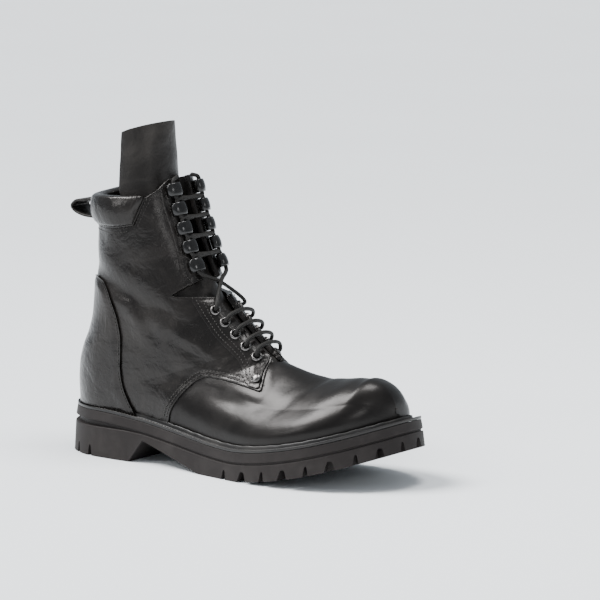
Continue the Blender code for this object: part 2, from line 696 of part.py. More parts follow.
def soleSide(s, inset, side):
    # a point of the sole's side, s along it from heel to toe, at an inset from the full outline
    x = inset + s * (soleLength - 2 * inset)
    full = edgeFull[side](edgeFull[2] + s * (edgeFull[3] - edgeFull[2]))
    small = edgeInset[side](edgeInset[2] + s * (edgeInset[3] - edgeInset[2]))
    return x, full + (small - full) * inset / edgeStep


def soleRings(levels, stations):
    # levels: functions of x that give inset and height, top to bottom
    out = []
    for s in stations:
        ring = []
        for side, order in ((0, levels), (1, levels[::-1])):
            for inset, height in order:
                x, y = soleSide(s, inset(s * soleLength), side)
                ring.append((x, y, height(x)))
        out.append(ring)
    return np.array(out)


breastFoot = 78 * mm
breastTop = 92 * mm
ballStart = 150 * mm
stations = (1 - np.cos(np.linspace(0, np.pi, 41))) / 2
stations = np.unique(np.r_[stations, [breastFoot / soleLength, breastTop / soleLength]])
midsoleTop = lambda x: weltTop(x) - weltThick
midsoleFoot = lambda x: midsoleTop(x) - midsoleThick
outsoleTop = lambda x: midsoleFoot(x) - clearance
recessEnd = 40 * mm, 95 * mm    # where the heel's groove narrows to the line
recess = lambda x: recessHeight + (lineHeight - recessHeight) * blend(x, *recessEnd)
recessIn = lambda x: heelRecess + (lineHeight - heelRecess) * blend(x, *recessEnd)


def treadFoot(x):
    # underside: flat heel, breast, waist falling to the ball, then the toe spring
    waist = outsoleTop(breastTop) - waistThick
    fall = np.interp(x, [breastFoot, breastTop, ballStart], [0, waist, 0])
    return fall + spring(x)


rings("midsole", soleRings([
    (lambda x: weltInset, midsoleTop),
    (lambda x: (weltInset + soleFlare) / 2, lambda x: midsoleTop(x) - 0.5 * midsoleThick),
    (lambda x: 1.3 * soleFlare, midsoleFoot)], stations), rubber, ends="none")
outsole = rings("outsole", soleRings([
    (lambda x: 1.2 * soleFlare + recessIn(x), outsoleTop),
    (lambda x: 1.2 * soleFlare + recessIn(x), lambda x: outsoleTop(x) - recess(x)),
    (lambda x: soleFlare, lambda x: outsoleTop(x) - recess(x) - 0.3 * mm),
    (lambda x: 0.0, treadFoot)], stations), rubber, ends="none")

# side notches between the lugs, narrow and wide in turn round the forefoot, alike round the heel
outlineRing = soleOutline(0.0, 1201)
outlineRun = np.r_[0, np.cumsum(np.linalg.norm(np.diff(outlineRing, axis=0, append=outlineRing[:1]), axis=1))]
lugStart = 179 * mm         # the rearmost forefoot notch on either side
notchPitch = 18.3 * mm
heelPitch = 17.0 * mm
heelNotches = 8
notchBelow = 6 * mm
notchBeyond = 4 * mm


def notchAt(run, width, depth):
    # a notch that narrows upwards, at a distance along the outline from the heel
    run = run % outlineRun[-1]
    k = np.searchsorted(outlineRun, run) % len(outlineRing)
    here = outlineRing[k]
    along = outlineRing[(k + 3) % len(outlineRing)] - outlineRing[k - 3]
    along /= np.linalg.norm(along)
    inward = np.array([-along[1], along[0]])
    ground = spring(here[0])
    section = [(-0.5, -notchBelow), (0.5, -notchBelow), (0.5, 0), (0.2, depth), (-0.2, depth), (-0.5, 0)]
    points = []
    for reach in (-notchBeyond, lugReach):
        q = here + inward * reach
        for share, z in section:
            points.append((q[0] + along[0] * share * width, q[1] + along[1] * share * width, ground + z))
    return np.array(points).reshape(2, 6, 3)


halfway = len(outlineRing) // 2
startOuter = outlineRun[np.argmin(np.abs(outlineRing[:halfway, 0] - lugStart))]
startInner = outlineRun[halfway + np.argmin(np.abs(outlineRing[halfway:, 0] - lugStart))]
spaces = int((startInner - startOuter) // notchPitch)
cuts = []
for k in range(spaces + 1):
    width = notchWide if k % 2 else notchNarrow
    cuts.append(notchAt(startOuter + (startInner - startOuter) * k / spaces, width, lugDepth))
for k in range(heelNotches):
    cuts.append(notchAt((k + 0.5 - heelNotches / 2) * heelPitch, notchNarrow, heelLugDepth))
joined = bmesh.new()
for k, points in enumerate(cuts):
    cut = rings(f"notch{k}", points, None, smooth=False)
    joined.from_mesh(cut.data)
    bpy.data.objects.remove(cut)
notchMesh = bpy.data.meshes.new("notches")
joined.to_mesh(notchMesh)
joined.free()
notches = bpy.data.objects.new("notches", notchMesh)
bpy.context.scene.collection.objects.link(notches)
notches.parent = boot
combine(outsole, [cutter(notches)], "DIFFERENCE")

# Seats on the facings: by the share of the way down the throat and the distance from its middle
ridgeRows = np.linspace(0, 14, 1401)
ridgeLine = upperPoint(ridgeRows, 0 * ridgeRows)
ridgeRun = np.r_[0, np.cumsum(np.linalg.norm(np.diff(ridgeLine, axis=0), axis=1))]
throatLength = np.interp(throatEnd, ridgeRows, ridgeRun)
onFacing = low + overlay + clearance


def unit(vector):
    return vector / np.linalg.norm(vector)


def seat(share, reach, side):
    # point, outward normal, direction up the facing and direction away from the throat
    row = np.interp(share * throatLength, ridgeRun, ridgeRows)
    v = np.linspace(0, 0.6, 241)
    v = side * np.interp(reach, np.abs(upperPoint(row, side * v)[:, 1]), v)
    p, n = upperFrame(np.array(row), np.array(v))
    up = upperPoint(row - 0.05, v) - upperPoint(row + 0.05, v)
    up = unit(up - n * (up @ n))
    away = np.cross(up, n)
    return p, n, up, away * np.sign(away[1] * side)


def turned(name, profile, place, count, surface, ends="none"):
    # turned body on a seat: profile of radius and height, first to last
    p, n, up, away = place
    angles = np.linspace(0, 2 * np.pi, count, endpoint=False)
    out = [[p + n * h + (up * np.cos(a) + away * np.sin(a)) * r for r, h in profile] for a in angles]
    return rings(name, np.array(out), surface, ends="ring")


eyeletRadius = 4.3 * mm
eyeletHole = 2.4 * mm
eyeletHeight = 1.2 * mm
eyeletSpan = 0.666, 0.971   # first and last, as shares of the throat's length from the collar
eyeletReach = (14.8 * mm, 12.6 * mm)
eyeletCount = 5
hookCount = 5
hookSpan = 0.060, 0.430
hookReach = 13.6 * mm
hookWide = 10.2 * mm
hookDeep = 12.6 * mm
hookRise = 7.2 * mm
hookPlate = 1.3 * mm
rivetRadius = 3.6 * mm
rivetShare = 1.104
rivetReach = 23 * mm


def eyeletSeat(k, side):
    share = k / (eyeletCount - 1)
    reach = eyeletReach[0] + (eyeletReach[1] - eyeletReach[0]) * share
    return seat(eyeletSpan[0] + (eyeletSpan[1] - eyeletSpan[0]) * share, reach, side)


def hookShare(k):
    return hookSpan[0] + (hookSpan[1] - hookSpan[0]) * k / (hookCount - 1)


def hookSeat(k, side):
    return seat(hookShare(k), hookReach, side)


sides = (("outer", -1), ("inner", 1))
for word, side in sides:
    for k in range(eyeletCount):
        turned(f"eyelet_{word}_{k + 1}", [
            (eyeletRadius, onFacing), ((eyeletRadius + eyeletHole) / 2, onFacing + eyeletHeight),
            (eyeletHole, onFacing)], eyeletSeat(k, side), 12, gunmetal)

# Speed hooks: a plate on the facing that rises at the throat side and curls back over itself
hookProfile = [(-0.36, 0.00), (-0.45, 0.62), (-0.30, 0.92), (0.00, 1.00), (0.35, 0.90), (0.58, 0.62)]


def hookRing(place, rise):
    p, n, up, away = place
    outline = [(a * hookDeep, h * hookRise) for a, h in hookProfile]
    inner = [(0.58 * hookDeep - hookPlate, 0.62 * hookRise - 0.5 * hookPlate),
             (0.30 * hookDeep, 0.90 * hookRise - hookPlate), (0, hookRise - hookPlate),
             (-0.45 * hookDeep + hookPlate, 0.62 * hookRise), (-0.45 * hookDeep + hookPlate, hookPlate),
             (0.40 * hookDeep, hookPlate), (0.40 * hookDeep, 0)]
    return [p + away * a + n * (onFacing + h) + up * rise for a, h in outline + inner]


for word, side in sides:
    for k in range(hookCount):
        place = hookSeat(k, side)
        rings(f"hook_{word}_{k + 1}", np.array([hookRing(place, rise) for rise in
                                               (-hookWide / 2, hookWide / 2)]), blackMetal)

for word, side in sides:
    place = seat(rivetShare, rivetReach, side)
    p, n, up, away = place
    angles = np.linspace(0, 2 * np.pi, 12, endpoint=False)
    circle = [up * np.cos(a) + away * np.sin(a) for a in angles]
    rings(f"rivet_{word}", np.array([[p + n * (onFacing + h) + c * r for c in circle] for r, h in (
        (rivetRadius, 0.0), (rivetRadius, 0.4 * mm), (0.72 * rivetRadius, 1.2 * mm),
        (0.3 * rivetRadius, 1.5 * mm))]), gunmetal)

# Zip: tape in the slot, teeth on the tape, a slider at the top with a hinged pull
zipStart = 0.08
zipStrip("zip_tape", np.linspace(zipStart, zipRows - 0.08, 14), zipTape, -1.9 * mm, -0.5 * mm, tape)
teethLow = -0.2 * mm
teethHigh = 0.9 * mm
zipStrip("zip_teeth", np.linspace(zipStart, zipRows - 0.14, 16), zipTeeth, teethLow, teethHigh, steel)
sliderRow = 0.42
sliderWide = 8.4 * mm
sliderLong = 12 * mm
sliderLow = teethHigh + clearance
sliderHigh = sliderLow + 2.8 * mm
pullThick = 1.4 * mm
pinRise = 1.35 * mm
loopIn = 1.5 * mm
loopOut = 2.7 * mm
loopWide = 1.8 * mm
pullLong = 27 * mm
pullWide = 6.4 * mm
rows = np.array([sliderRow - 0.01, sliderRow, sliderRow + 0.01])
zipPoint, zipNormal, zipAcross = (part[1] for part in zipFrame(rows))
zipDown = unit(np.cross(zipNormal, zipAcross))
zipDown = zipDown * np.sign(-zipDown[2])
zipAcross = np.cross(zipNormal, zipDown)


def zipBox(name, low, high):
    # box between two corners given across, down and out from the zip at the slider
    points = []
    for down in (low[1], high[1]):
        for a, h in ((low[0], low[2]), (high[0], low[2]), (high[0], high[2]), (low[0], high[2])):
            points.append(zipPoint + zipAcross * a + zipDown * down + zipNormal * h)
    return points


def boxSolid(name, low, high, surface):
    return rings(name, np.array(zipBox(name, low, high)).reshape(2, 4, 3), surface, smooth=False)


slider = boxSolid("zip_slider", (-sliderWide / 2, -sliderLong / 2, sliderLow),
                  (sliderWide / 2, sliderLong / 2, sliderHigh), steel)
pinHigh = sliderHigh + pinRise
arch = []
for k in range(9):
    angle = np.pi * k / 8
    ring = []
    for radius, a in ((loopIn, -1), (loopOut, -1), (loopOut, 1), (loopIn, 1)):
        ring.append(zipPoint + zipAcross * a * loopWide / 2 - zipDown * radius * np.cos(angle)
                    + zipNormal * (pinHigh + radius * np.sin(angle)))
    arch.append(ring)
foot = [[q - zipNormal * (pinRise + 0.5 * mm) for q in arch[0]]]
end = [[q - zipNormal * (pinRise + 0.5 * mm) for q in arch[-1]]]
bridge = rings("bridge", np.array(foot + arch + end), None, smooth=False)
combine(slider, [cutter(bridge)], "UNION")

pullOutline = []
for k in range(13):
    angle = np.radians(-150 + 25 * k)
    pullOutline.append((3.2 * mm - 4.0 * mm * np.cos(angle), 4.0 * mm * np.sin(angle)))
pullOutline += [(0.30 * pullLong, pullWide / 2), (pullLong - 1.5 * mm, pullWide / 2),
                (pullLong, pullWide / 2 - 1.5 * mm), (pullLong, -pullWide / 2 + 1.5 * mm),
                (pullLong - 1.5 * mm, -pullWide / 2), (0.30 * pullLong, -pullWide / 2)]


def flatPlate(name, outline, thick, surface):
    points = [(u, w, h) for h in (-thick / 2, thick / 2) for u, w in outline]
    return rings(name, np.array(points).reshape(2, len(outline), 3), surface, smooth=False)


def rectangle(u0, u1, w):
    return [(u0, -w), (u1, -w), (u1, w), (u0, w)]


pull = flatPlate("zip_pull", pullOutline[::-1], pullThick, steel)
combine(pull, [cutter(flatPlate("eye", rectangle(0.8 * mm, 4.9 * mm, 2.2 * mm), 3 * pullThick, None)),
               cutter(flatPlate("window", rectangle(0.42 * pullLong, 0.86 * pullLong, 1.8 * mm),
                                3 * pullThick, None))], "DIFFERENCE")
turn = np.eye(4)
turn[:3, 0] = zipDown
turn[:3, 1] = np.cross(zipNormal, zipDown)
turn[:3, 2] = zipNormal
turn[:3, 3] = zipPoint + zipNormal * pinHigh
pull.matrix_local = Matrix(turn.tolist())

# Pull loop: a strap bent to a U behind the cuff
loopWidth = 22 * mm
loopThick = 2.0 * mm
loopTop = weltTop(0) + shaftHeight - 5.2 * mm
loopFoot = loopTop - 14.5 * mm
loopReach = 24.5 * mm
cuffBack = cuffGrid(True)[:, np.argmin(cuffGrid(True)[4, :, 0])]


def strapEnd(z):
    order = np.argsort(cuffBack[:, 2])
    return np.interp(z, cuffBack[order, 2], cuffBack[order, 0]) - clearance


def loopPath():
    # from the cuff's back out, round and back in, in the side view
    above, below = strapEnd(loopTop), strapEnd(loopFoot)
    tall = loopTop - loopFoot
    tip = above - loopReach
    return [(above, loopTop), (above - 7 * mm, loopTop + 0.6 * mm), (tip + 12 * mm, loopTop - 0.5 * mm),
            (tip + 4 * mm, loopTop - 1.5 * mm), (tip, loopFoot + 0.55 * tall),
            (tip + 2.5 * mm, loopFoot + 0.28 * tall), (tip + 10 * mm, loopFoot + 0.05 * tall),
            (below - 8 * mm, loopFoot - 0.4 * mm), (below, loopFoot)]


path = roundCurve(loopPath(), 19)
along = np.gradient(path, axis=0)
along /= np.linalg.norm(along, axis=1)[:, None]
along[0] = along[-1] = 0
across = np.stack([-along[:, 1], along[:, 0]], 1)
across[0] = across[-1] = (0, 0)
across[0, 1] = -1
across[-1, 1] = 1
strap = []
for (x, z), (nx, nz) in zip(path, across):
    strap.append([(x + nx * o, y, z + nz * o) for o, y in (
        (-loopThick / 2, -loopWidth / 2), (loopThick / 2, -loopWidth / 2),
        (loopThick / 2, loopWidth / 2), (-loopThick / 2, loopWidth / 2))])
rings("pull_loop", np.array(strap), leather)

# Laces: bars over the lower eyelets, and two strands that cross between the hooks
laceRadius = 1.45 * mm
laceSides = 5


def tube(name, points, surface, count):
    path = roundCurve(points, count)
    along = np.gradient(path, axis=0)
    along /= np.linalg.norm(along, axis=1)[:, None]
    side = unit(np.cross(along[0], [0.3, 0.2, 1.0]))
    out = []
    for p, d in zip(path, along):
        side = unit(side - d * (side @ d))
        other = np.cross(d, side)
        out.append([p + laceRadius * (side * np.cos(a) + other * np.sin(a))
                    for a in np.linspace(0, 2 * np.pi, laceSides, endpoint=False)])
    return rings(name, np.array(out), surface)


def lift(place, height, rise=0.0, away=0.0):
    p, n, up, out = place
    return p + n * height + up * rise + out * away


aboveEyelet = onFacing + laceRadius + 0.4 * mm
for k in range(1, eyeletCount):
    left, right = eyeletSeat(k, -1), eyeletSeat(k, 1)
    middle = (lift(left, 0) + lift(right, 0)) / 2
    crown = unit(left[1] + right[1])
    tube(f"lace_bar_{k}", [
        lift(left, onFacing + 0.3 * mm), lift(left, onFacing + 3.0 * mm, 0, -0.6 * mm),
        lift(left, onFacing + 4.6 * mm, 1.0 * mm, -5.0 * mm), middle + crown * 12.5 * mm + left[2] * 2.4 * mm,
        lift(right, onFacing + 4.6 * mm, 1.0 * mm, -5.0 * mm), lift(right, onFacing + 3.0 * mm, 0, -0.6 * mm),
        lift(right, onFacing + 0.3 * mm)], cord, 13)


def strand(start):
    # from the top eyelet over to the lowest hook of the other side, and on from hook to hook
    place = eyeletSeat(0, start)
    points = [lift(place, onFacing + 1.0 * mm), lift(place, onFacing + 3.8 * mm, 0.6 * mm, -0.2 * mm)]
    side = -start
    for k in range(hookCount - 1, -1, -1):
        place = hookSeat(k, side)
        below = 0.5 if k < hookCount - 1 else 1.1
        p, n, up, away = seat(hookShare(k + below), 2 * mm, side)
        points.append(np.array([p[0], 0, p[2]]) + unit(n * [1, 0, 1]) * (onFacing + (2.0 + side * 0.4) * mm))
        mid = hookPlate + 0.5 * (hookRise - 2 * hookPlate)
        points.append(lift(place, onFacing + mid, -hookWide / 2 - 2.3 * mm, -0.5 * mm))
        points.append(lift(place, onFacing + mid, -0.2 * hookWide, 0.9 * mm))
        points.append(lift(place, onFacing + mid, 0.2 * hookWide, 0.9 * mm))
        points.append(lift(place, onFacing + mid, hookWide / 2 + 2.3 * mm, -0.5 * mm))
        side = -side
    last = points[-1]
    points.append(last + np.array([-1, 0.0, 2.0]) * mm + np.array([0, side * 6 * mm, 0]))
    return points


lace = tube("lace_upper", strand(-1), cord, 48)
combine(lace, [cutter(tube("strandTwo", strand(1), None, 48))], "UNION")

# Frame: origin under the middle of the bounding box
bpy.context.view_layer.update()
corners = []
for made in boot.children_recursive:
    if made.type == "MESH" and not made.hide_render:
        corners += [made.matrix_world @ vertex.co for vertex in made.data.vertices]
corners = np.array(corners)
boot.location = (-(corners[:, 0].min() + corners[:, 0].max()) / 2,
                 -(corners[:, 1].min() + corners[:, 1].max()) / 2, -corners[:, 2].min())
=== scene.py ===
import bpy
import bmesh
import numpy as np
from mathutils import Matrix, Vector


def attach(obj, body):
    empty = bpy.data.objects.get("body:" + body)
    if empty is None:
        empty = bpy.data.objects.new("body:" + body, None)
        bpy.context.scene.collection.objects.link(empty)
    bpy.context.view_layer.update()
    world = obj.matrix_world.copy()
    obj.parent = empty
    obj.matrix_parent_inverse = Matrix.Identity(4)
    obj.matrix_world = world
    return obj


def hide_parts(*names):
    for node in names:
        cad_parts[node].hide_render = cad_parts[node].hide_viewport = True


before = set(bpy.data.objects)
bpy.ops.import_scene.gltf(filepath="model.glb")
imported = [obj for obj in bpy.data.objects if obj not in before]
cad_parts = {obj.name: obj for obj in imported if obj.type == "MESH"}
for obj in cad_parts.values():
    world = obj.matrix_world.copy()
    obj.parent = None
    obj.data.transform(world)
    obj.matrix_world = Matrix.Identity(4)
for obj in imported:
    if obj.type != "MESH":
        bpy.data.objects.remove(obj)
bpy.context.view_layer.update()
print("frame loaded:", len(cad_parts), "nodes")

mm = 0.001
detail = 1.0     # share of the full mesh density

# the last and the sole, as in the part's own source (metres)
sole = {
    "length": 0.312, "ballWidth": 0.113, "heelWidth": 0.078,
    "heelHeight": 0.0382, "ballHeight": 0.024, "toeSpring": 0.0296,
    "weltThick": 0.0024, "weltInset": 0.003, "beadHeight": 0.0026,
    "channelDepth": 0.0009, "midsoleThick": 0.0076, "waistThick": 0.006, "flare": 0.0015,
    "heelRecess": 0.0032, "recessHeight": 0.0042, "lineHeight": 0.0012,
    "lugDepth": 0.0073, "heelLugDepth": 0.0085, "lugReach": 0.015,
    "notchNarrow": 0.0044, "notchWide": 0.0084,
}
last = {
    "shaftHeight": 0.166, "frontHeight": 0.1856, "instepHeight": 0.0625, "vampHeight": 0.0436,
    "toeHeight": 0.0386, "collarWidth": 0.074, "heelRound": 0.038,
    "featherInset": 0.0095, "toeInset": 0.0125, "clearance": 0.0003,
    "wall": 0.0022, "quarterStep": 0.0012, "overlay": 0.0014,
    "throatTop": 0.020, "throatFoot": 0.011, "throatEnd": 11.6,
}
origin = np.array([-0.154266, 0.002506, 0.0])   # from the sole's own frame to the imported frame
shaftRow = 16.5 * mm                            # height of one section row in the shaft

# Sole outline, heel to toe: share of the length, then of the heel's and of the ball's width
outerEdge = [
    (0.000, -0.000, 0.000), (0.030, -0.312, 0.000), (0.099, -0.500, 0.000), (0.195, -0.550, 0.000),
    (0.306, -0.400, -0.107), (0.417, -0.160, -0.301), (0.529, 0.000, -0.465), (0.641, 0.000, -0.516),
    (0.738, 0.000, -0.523), (0.828, 0.000, -0.481), (0.905, 0.000, -0.376), (0.964, 0.000, -0.218),
    (1.000, 0.000, 0.000),
]
innerEdge = [
    (0.000, 0.000, 0.000), (0.030, 0.297, 0.000), (0.097, 0.451, 0.000), (0.193, 0.477, 0.000),
    (0.288, 0.400, 0.035), (0.400, 0.200, 0.181), (0.513, 0.000, 0.363), (0.625, 0.000, 0.434),
    (0.738, 0.000, 0.479), (0.851, 0.000, 0.461), (0.939, 0.000, 0.373), (0.991, 0.000, 0.215),
    (1.000, 0.000, 0.000),
]

# Sections of the upper as lines in the side view, from the back line or the feather edge up to
# the ridge. Lower end: share along the foot, share of the shaft's height. Upper end: share along
# the foot, and its height as a share of the way from instep to front collar, then of the
# instep's, the vamp's and the toe's height.
sectionEnds = [
    (0.064, 1.000, 0.303, 1.001, 1.00, 0.00, 0.00),
    (0.069, 0.880, 0.324, 0.845, 1.00, 0.00, 0.00),
    (0.070, 0.760, 0.347, 0.706, 1.00, 0.00, 0.00),
    (0.065, 0.645, 0.369, 0.588, 1.00, 0.00, 0.00),
    (0.060, 0.540, 0.393, 0.482, 1.00, 0.00, 0.00),
    (0.054, 0.445, 0.422, 0.378, 1.00, 0.00, 0.00),
    (0.040, 0.360, 0.452, 0.302, 1.00, 0.00, 0.00),
    (0.019, 0.277, 0.483, 0.233, 1.00, 0.00, 0.00),
    (0.005, 0.193, 0.516, 0.172, 1.00, 0.00, 0.00),
    (0.000, 0.100, 0.550, 0.113, 1.00, 0.00, 0.00),
    (0.000, 0.000, 0.583, 0.060, 1.00, 0.00, 0.00),
    (0.071, 0.000, 0.607, 0.022, 1.00, 0.00, 0.00),
    (0.174, 0.000, 0.633, 0.000, 0.75, 0.30, 0.00),
    (0.295, 0.000, 0.672, 0.000, 0.50, 0.57, 0.00),
    (0.416, 0.000, 0.716, 0.000, 0.25, 0.82, 0.00),
    (0.526, 0.000, 0.760, 0.000, 0.08, 0.96, 0.00),
    (0.629, 0.000, 0.805, 0.000, 0.00, 1.00, 0.00),
    (0.726, 0.000, 0.847, 0.000, 0.00, 0.55, 0.47),
    (0.812, 0.000, 0.884, 0.000, 0.00, 0.20, 0.83),
    (0.888, 0.000, 0.919, 0.000, 0.00, 0.00, 1.00),
    (0.943, 0.000, 0.952, 0.000, 0.00, 0.00, 0.87),
    (0.978, 0.000, 0.979, 0.000, 0.00, 0.00, 0.65),
    (0.995, 0.000, 0.995, 0.000, 0.00, 0.00, 0.39),
    (1.000, 0.000, 1.000, 0.000, 0.00, 0.00, 0.16),
]
heelRow = 10                # the section that starts at the heel's lower corner
toeRow = len(sectionEnds) - 1

# Shape of the sections: row, outer and inner half width as shares of the collar's width, how
# much of that rules over the sole's outline, where the round top starts, its two powers, bulge
sectionForm = [
    (0, 0.500, 0.486, 1.00, 0.45, 2.2, 2.10, 0.00),
    (1, 0.520, 0.500, 1.00, 0.44, 2.2, 2.10, 0.00),
    (2, 0.531, 0.514, 1.00, 0.43, 2.2, 2.05, 0.00),
    (4, 0.527, 0.507, 1.00, 0.40, 2.3, 2.10, 0.00),
    (6, 0.520, 0.493, 1.00, 0.36, 2.4, 2.15, 0.00),
    (8, 0.520, 0.482, 0.90, 0.28, 2.4, 2.15, 0.01),
    (10, 0.520, 0.480, 0.75, 0.20, 2.3, 2.05, 0.02),
    (12, 0.527, 0.486, 0.50, 0.10, 2.1, 1.80, 0.04),
    (14, 0.540, 0.500, 0.25, 0.03, 2.0, 1.58, 0.07),
    (16, 0.560, 0.520, 0.00, 0.00, 2.0, 1.60, 0.08),
    (18, 0.560, 0.520, 0.00, 0.00, 2.2, 1.75, 0.08),
    (20, 0.560, 0.520, 0.00, 0.00, 2.4, 2.00, 0.06),
    (23, 0.560, 0.520, 0.00, 0.00, 2.4, 2.00, 0.03),
]


def runOf(points):
    # distance along a line of points, from its first
    return np.r_[0, np.cumsum(np.linalg.norm(np.diff(points, axis=0), axis=1))]


def atRun(want, run, values):
    # a table's columns at distances along a run
    return np.stack([np.interp(want, run, values[:, c]) for c in range(values.shape[1])], -1)


def unit(vector):
    return vector / np.linalg.norm(vector, axis=-1, keepdims=True)


def blend(x, low, high):
    # smooth step: 3 t squared minus 2 t cubed between the two limits
    t = np.clip((np.asarray(x, float) - low) / (high - low), 0, 1)
    return t * t * (3 - 2 * t)


def alongRows(xs, ys, x):
    # smooth curve through a table's rows that never swings past them
    xs = np.asarray(xs, float)
    ys = np.asarray(ys, float)
    x = np.clip(np.asarray(x, float), xs[0], xs[-1])
    h = np.diff(xs)
    d = np.diff(ys) / h
    m = np.empty(len(xs))
    m[0] = d[0]
    m[-1] = d[-1]
    same = d[:-1] * d[1:] > 0
    a = 2 * h[1:] + h[:-1]
    b = h[1:] + 2 * h[:-1]
    safe = np.where(same, d[:-1], 1), np.where(same, d[1:], 1)
    m[1:-1] = np.where(same, (a + b) / (a / safe[0] + b / safe[1]), 0)
    i = np.clip(np.searchsorted(xs, x) - 1, 0, len(xs) - 2)
    t = (x - xs[i]) / h[i]
    low = (1 + 2 * t) * (1 - t) ** 2 * ys[i] + t * (1 - t) ** 2 * h[i] * m[i]
    return low + t * t * (3 - 2 * t) * ys[i + 1] + t * t * (t - 1) * h[i] * m[i + 1]


def roundCurve(points, count, closed=False):
    # smooth curve through points, evenly spaced
    p = np.asarray(points, float)
    if closed:
        p = np.vstack([p[-2:], p, p[:2]]) if np.linalg.norm(p[0] - p[-1]) > 1e-9 else \
            np.vstack([p[-3:-1], p, p[1:3]])
    k = np.r_[0, np.cumsum(np.sqrt(np.linalg.norm(np.diff(p, axis=0), axis=1)))]
    m = np.gradient(p, k, axis=0)
    first, last = (k[2], k[-3]) if closed else (k[0], k[-1])
    s = np.linspace(first, last, max(400, 4 * count))
    i = np.clip(np.searchsorted(k, s) - 1, 0, len(k) - 2)
    h = (k[i + 1] - k[i])[:, None]
    t = (s - k[i])[:, None] / h
    c = (1 + 2 * t) * (1 - t) ** 2 * p[i] + t * (1 - t) ** 2 * h * m[i]
    c = c + t * t * (3 - 2 * t) * p[i + 1] + t * t * (t - 1) * h * m[i + 1]
    run = runOf(c)
    return atRun(np.linspace(0, run[-1], count), run, c)


def soleOutline(inset, count=241):
    # closed outline, outer side heel to toe and back along the inner side
    rows = [(s * sole["length"], a * sole["heelWidth"] + b * sole["ballWidth"]) for s, a, b in outerEdge]
    rows += [(s * sole["length"], a * sole["heelWidth"] + b * sole["ballWidth"]) for s, a, b in innerEdge[-2::-1]]
    c = roundCurve(rows, count, closed=True)[:-1]
    c[:, 0] -= c[:, 0].min()
    c[:, 0] *= sole["length"] / c[:, 0].max()
    d = unit(np.roll(c, -1, 0) - np.roll(c, 1, 0))
    return c + inset * np.stack([-d[:, 1], d[:, 0]], -1)


def soleEdges(inset):
    # half widths of the outline as two functions of x, with the x of heel and toe
    c = soleOutline(inset, 961)
    low = c[np.argmin(c[:, 0])]
    high = c[np.argmax(c[:, 0])]
    middle = lambda x: np.interp(x, [low[0], high[0]], [low[1], high[1]])
    outer = c[c[:, 1] <= middle(c[:, 0])]
    inner = c[c[:, 1] >= middle(c[:, 0])]
    outer = outer[np.argsort(outer[:, 0])]
    inner = inner[np.argsort(inner[:, 0])]
    return (lambda x: np.interp(x, outer[:, 0], outer[:, 1]),
            lambda x: np.interp(x, inner[:, 0], inner[:, 1]), low[0], high[0])


def spring(x):
    # how far the tread lifts off the floor towards the toe
    s = np.clip((x / sole["length"] - 0.577) / 0.423, 0, None)
    return sole["toeSpring"] * s ** 1.7


def weltTop(x):
    # top of the welt above the floor: heel seat, ramp through the arch, ball and toe
    s = x / sole["length"]
    return sole["heelHeight"] + (sole["ballHeight"] - sole["heelHeight"]) * blend(s, 0.125, 0.600) + spring(x)


footStart = last["featherInset"]
footLength = sole["length"] - last["featherInset"] - last["toeInset"]
featherOuter, featherInner, featherHeel, featherToe = soleEdges(last["featherInset"])


def column(table, index, row):
    # one value of a table at a row between its own
    return alongRows([r[0] for r in table], [r[index] for r in table], row)


def sectionLine(row):
    # lower and upper end of a section's line in the side view
    number = np.arange(len(sectionEnds))
    t = np.array(sectionEnds)
    back = row <= heelRow
    lowX = np.where(back, alongRows(number[:heelRow + 1], t[:heelRow + 1, 0], row),
                    alongRows(number[heelRow:], t[heelRow:, 0], row))
    lowX = footStart + footLength * lowX
    share = alongRows(number[:heelRow + 1], t[:heelRow + 1, 1], row)
    base = last["clearance"] - sole["weltThick"]
    lowZ = weltTop(lowX) + base + (last["shaftHeight"] - base) * np.where(back, share, 0)
    highX = footStart + footLength * alongRows(number, t[:, 2], row)
    high = [alongRows(number, t[:, j], row) for j in (3, 4, 5, 6)]
    height = (last["frontHeight"] - last["instepHeight"]) * high[0] + last["instepHeight"] * high[1]
    height = height + last["vampHeight"] * high[2] + last["toeHeight"] * high[3]
    return lowX, lowZ, highX, weltTop(highX) + height


def backLine(z):
    # x of the back line at a height
    x, height = sectionLine(np.linspace(0, heelRow, 801))[:2]
    return np.interp(z, height[::-1], x[::-1])


def upperPoint(row, v):
    # the upper's outer surface. row runs from the collar (0) to the toe, v from the outer side's
    # lower edge (-1) over the ridge (0) to the inner side's lower edge (1)
    row, v = np.broadcast_arrays(np.asarray(row, float), np.asarray(v, float))
    lowX, lowZ, highX, highZ = sectionLine(row)
    a = np.abs(v)
    foot = blend(row, heelRow + 1, heelRow + 5)
    t = (1 - foot) * (1 + np.cos(np.pi * a)) / 2 + foot * (1 - np.clip(a, 0, 1) ** 1.7)
    x = lowX + t * (highX - lowX)
    z = lowZ + t * (highZ - lowZ)
    outer = v < 0
    widest = last["collarWidth"] * np.where(outer, column(sectionForm, 1, row), column(sectionForm, 2, row))
    flat = featherHeel + (x - footStart) * (featherToe - featherHeel) / footLength
    flat = np.clip(flat, 0.2 * sole["length"], featherToe)
    edge = np.where(outer, -featherOuter(flat), featherInner(flat))
    rules = column(sectionForm, 3, row)
    low = blend(row, heelRow - 3, heelRow + 1)
    rules = rules * (1 - low * (1 - blend(t, 0, 0.45)))
    half = edge + rules * (widest - edge)
    start = column(sectionForm, 4, row)
    s = np.clip((t - start) / (1 - start), 0, 1)
    top = (1 - s ** column(sectionForm, 5, row)) ** (1 / column(sectionForm, 6, row))
    swell = 1 + column(sectionForm, 7, row) * np.sin(np.pi * np.clip(t / 0.62, 0, 1))
    back = np.clip((x - backLine(z)) / last["heelRound"], 0, 1)
    roundBack = (1 - (1 - back) ** 2.1) ** (1 / 2.1)
    y = half * top * swell * roundBack
    return np.stack([x, np.where(outer, -y, y), z], -1)


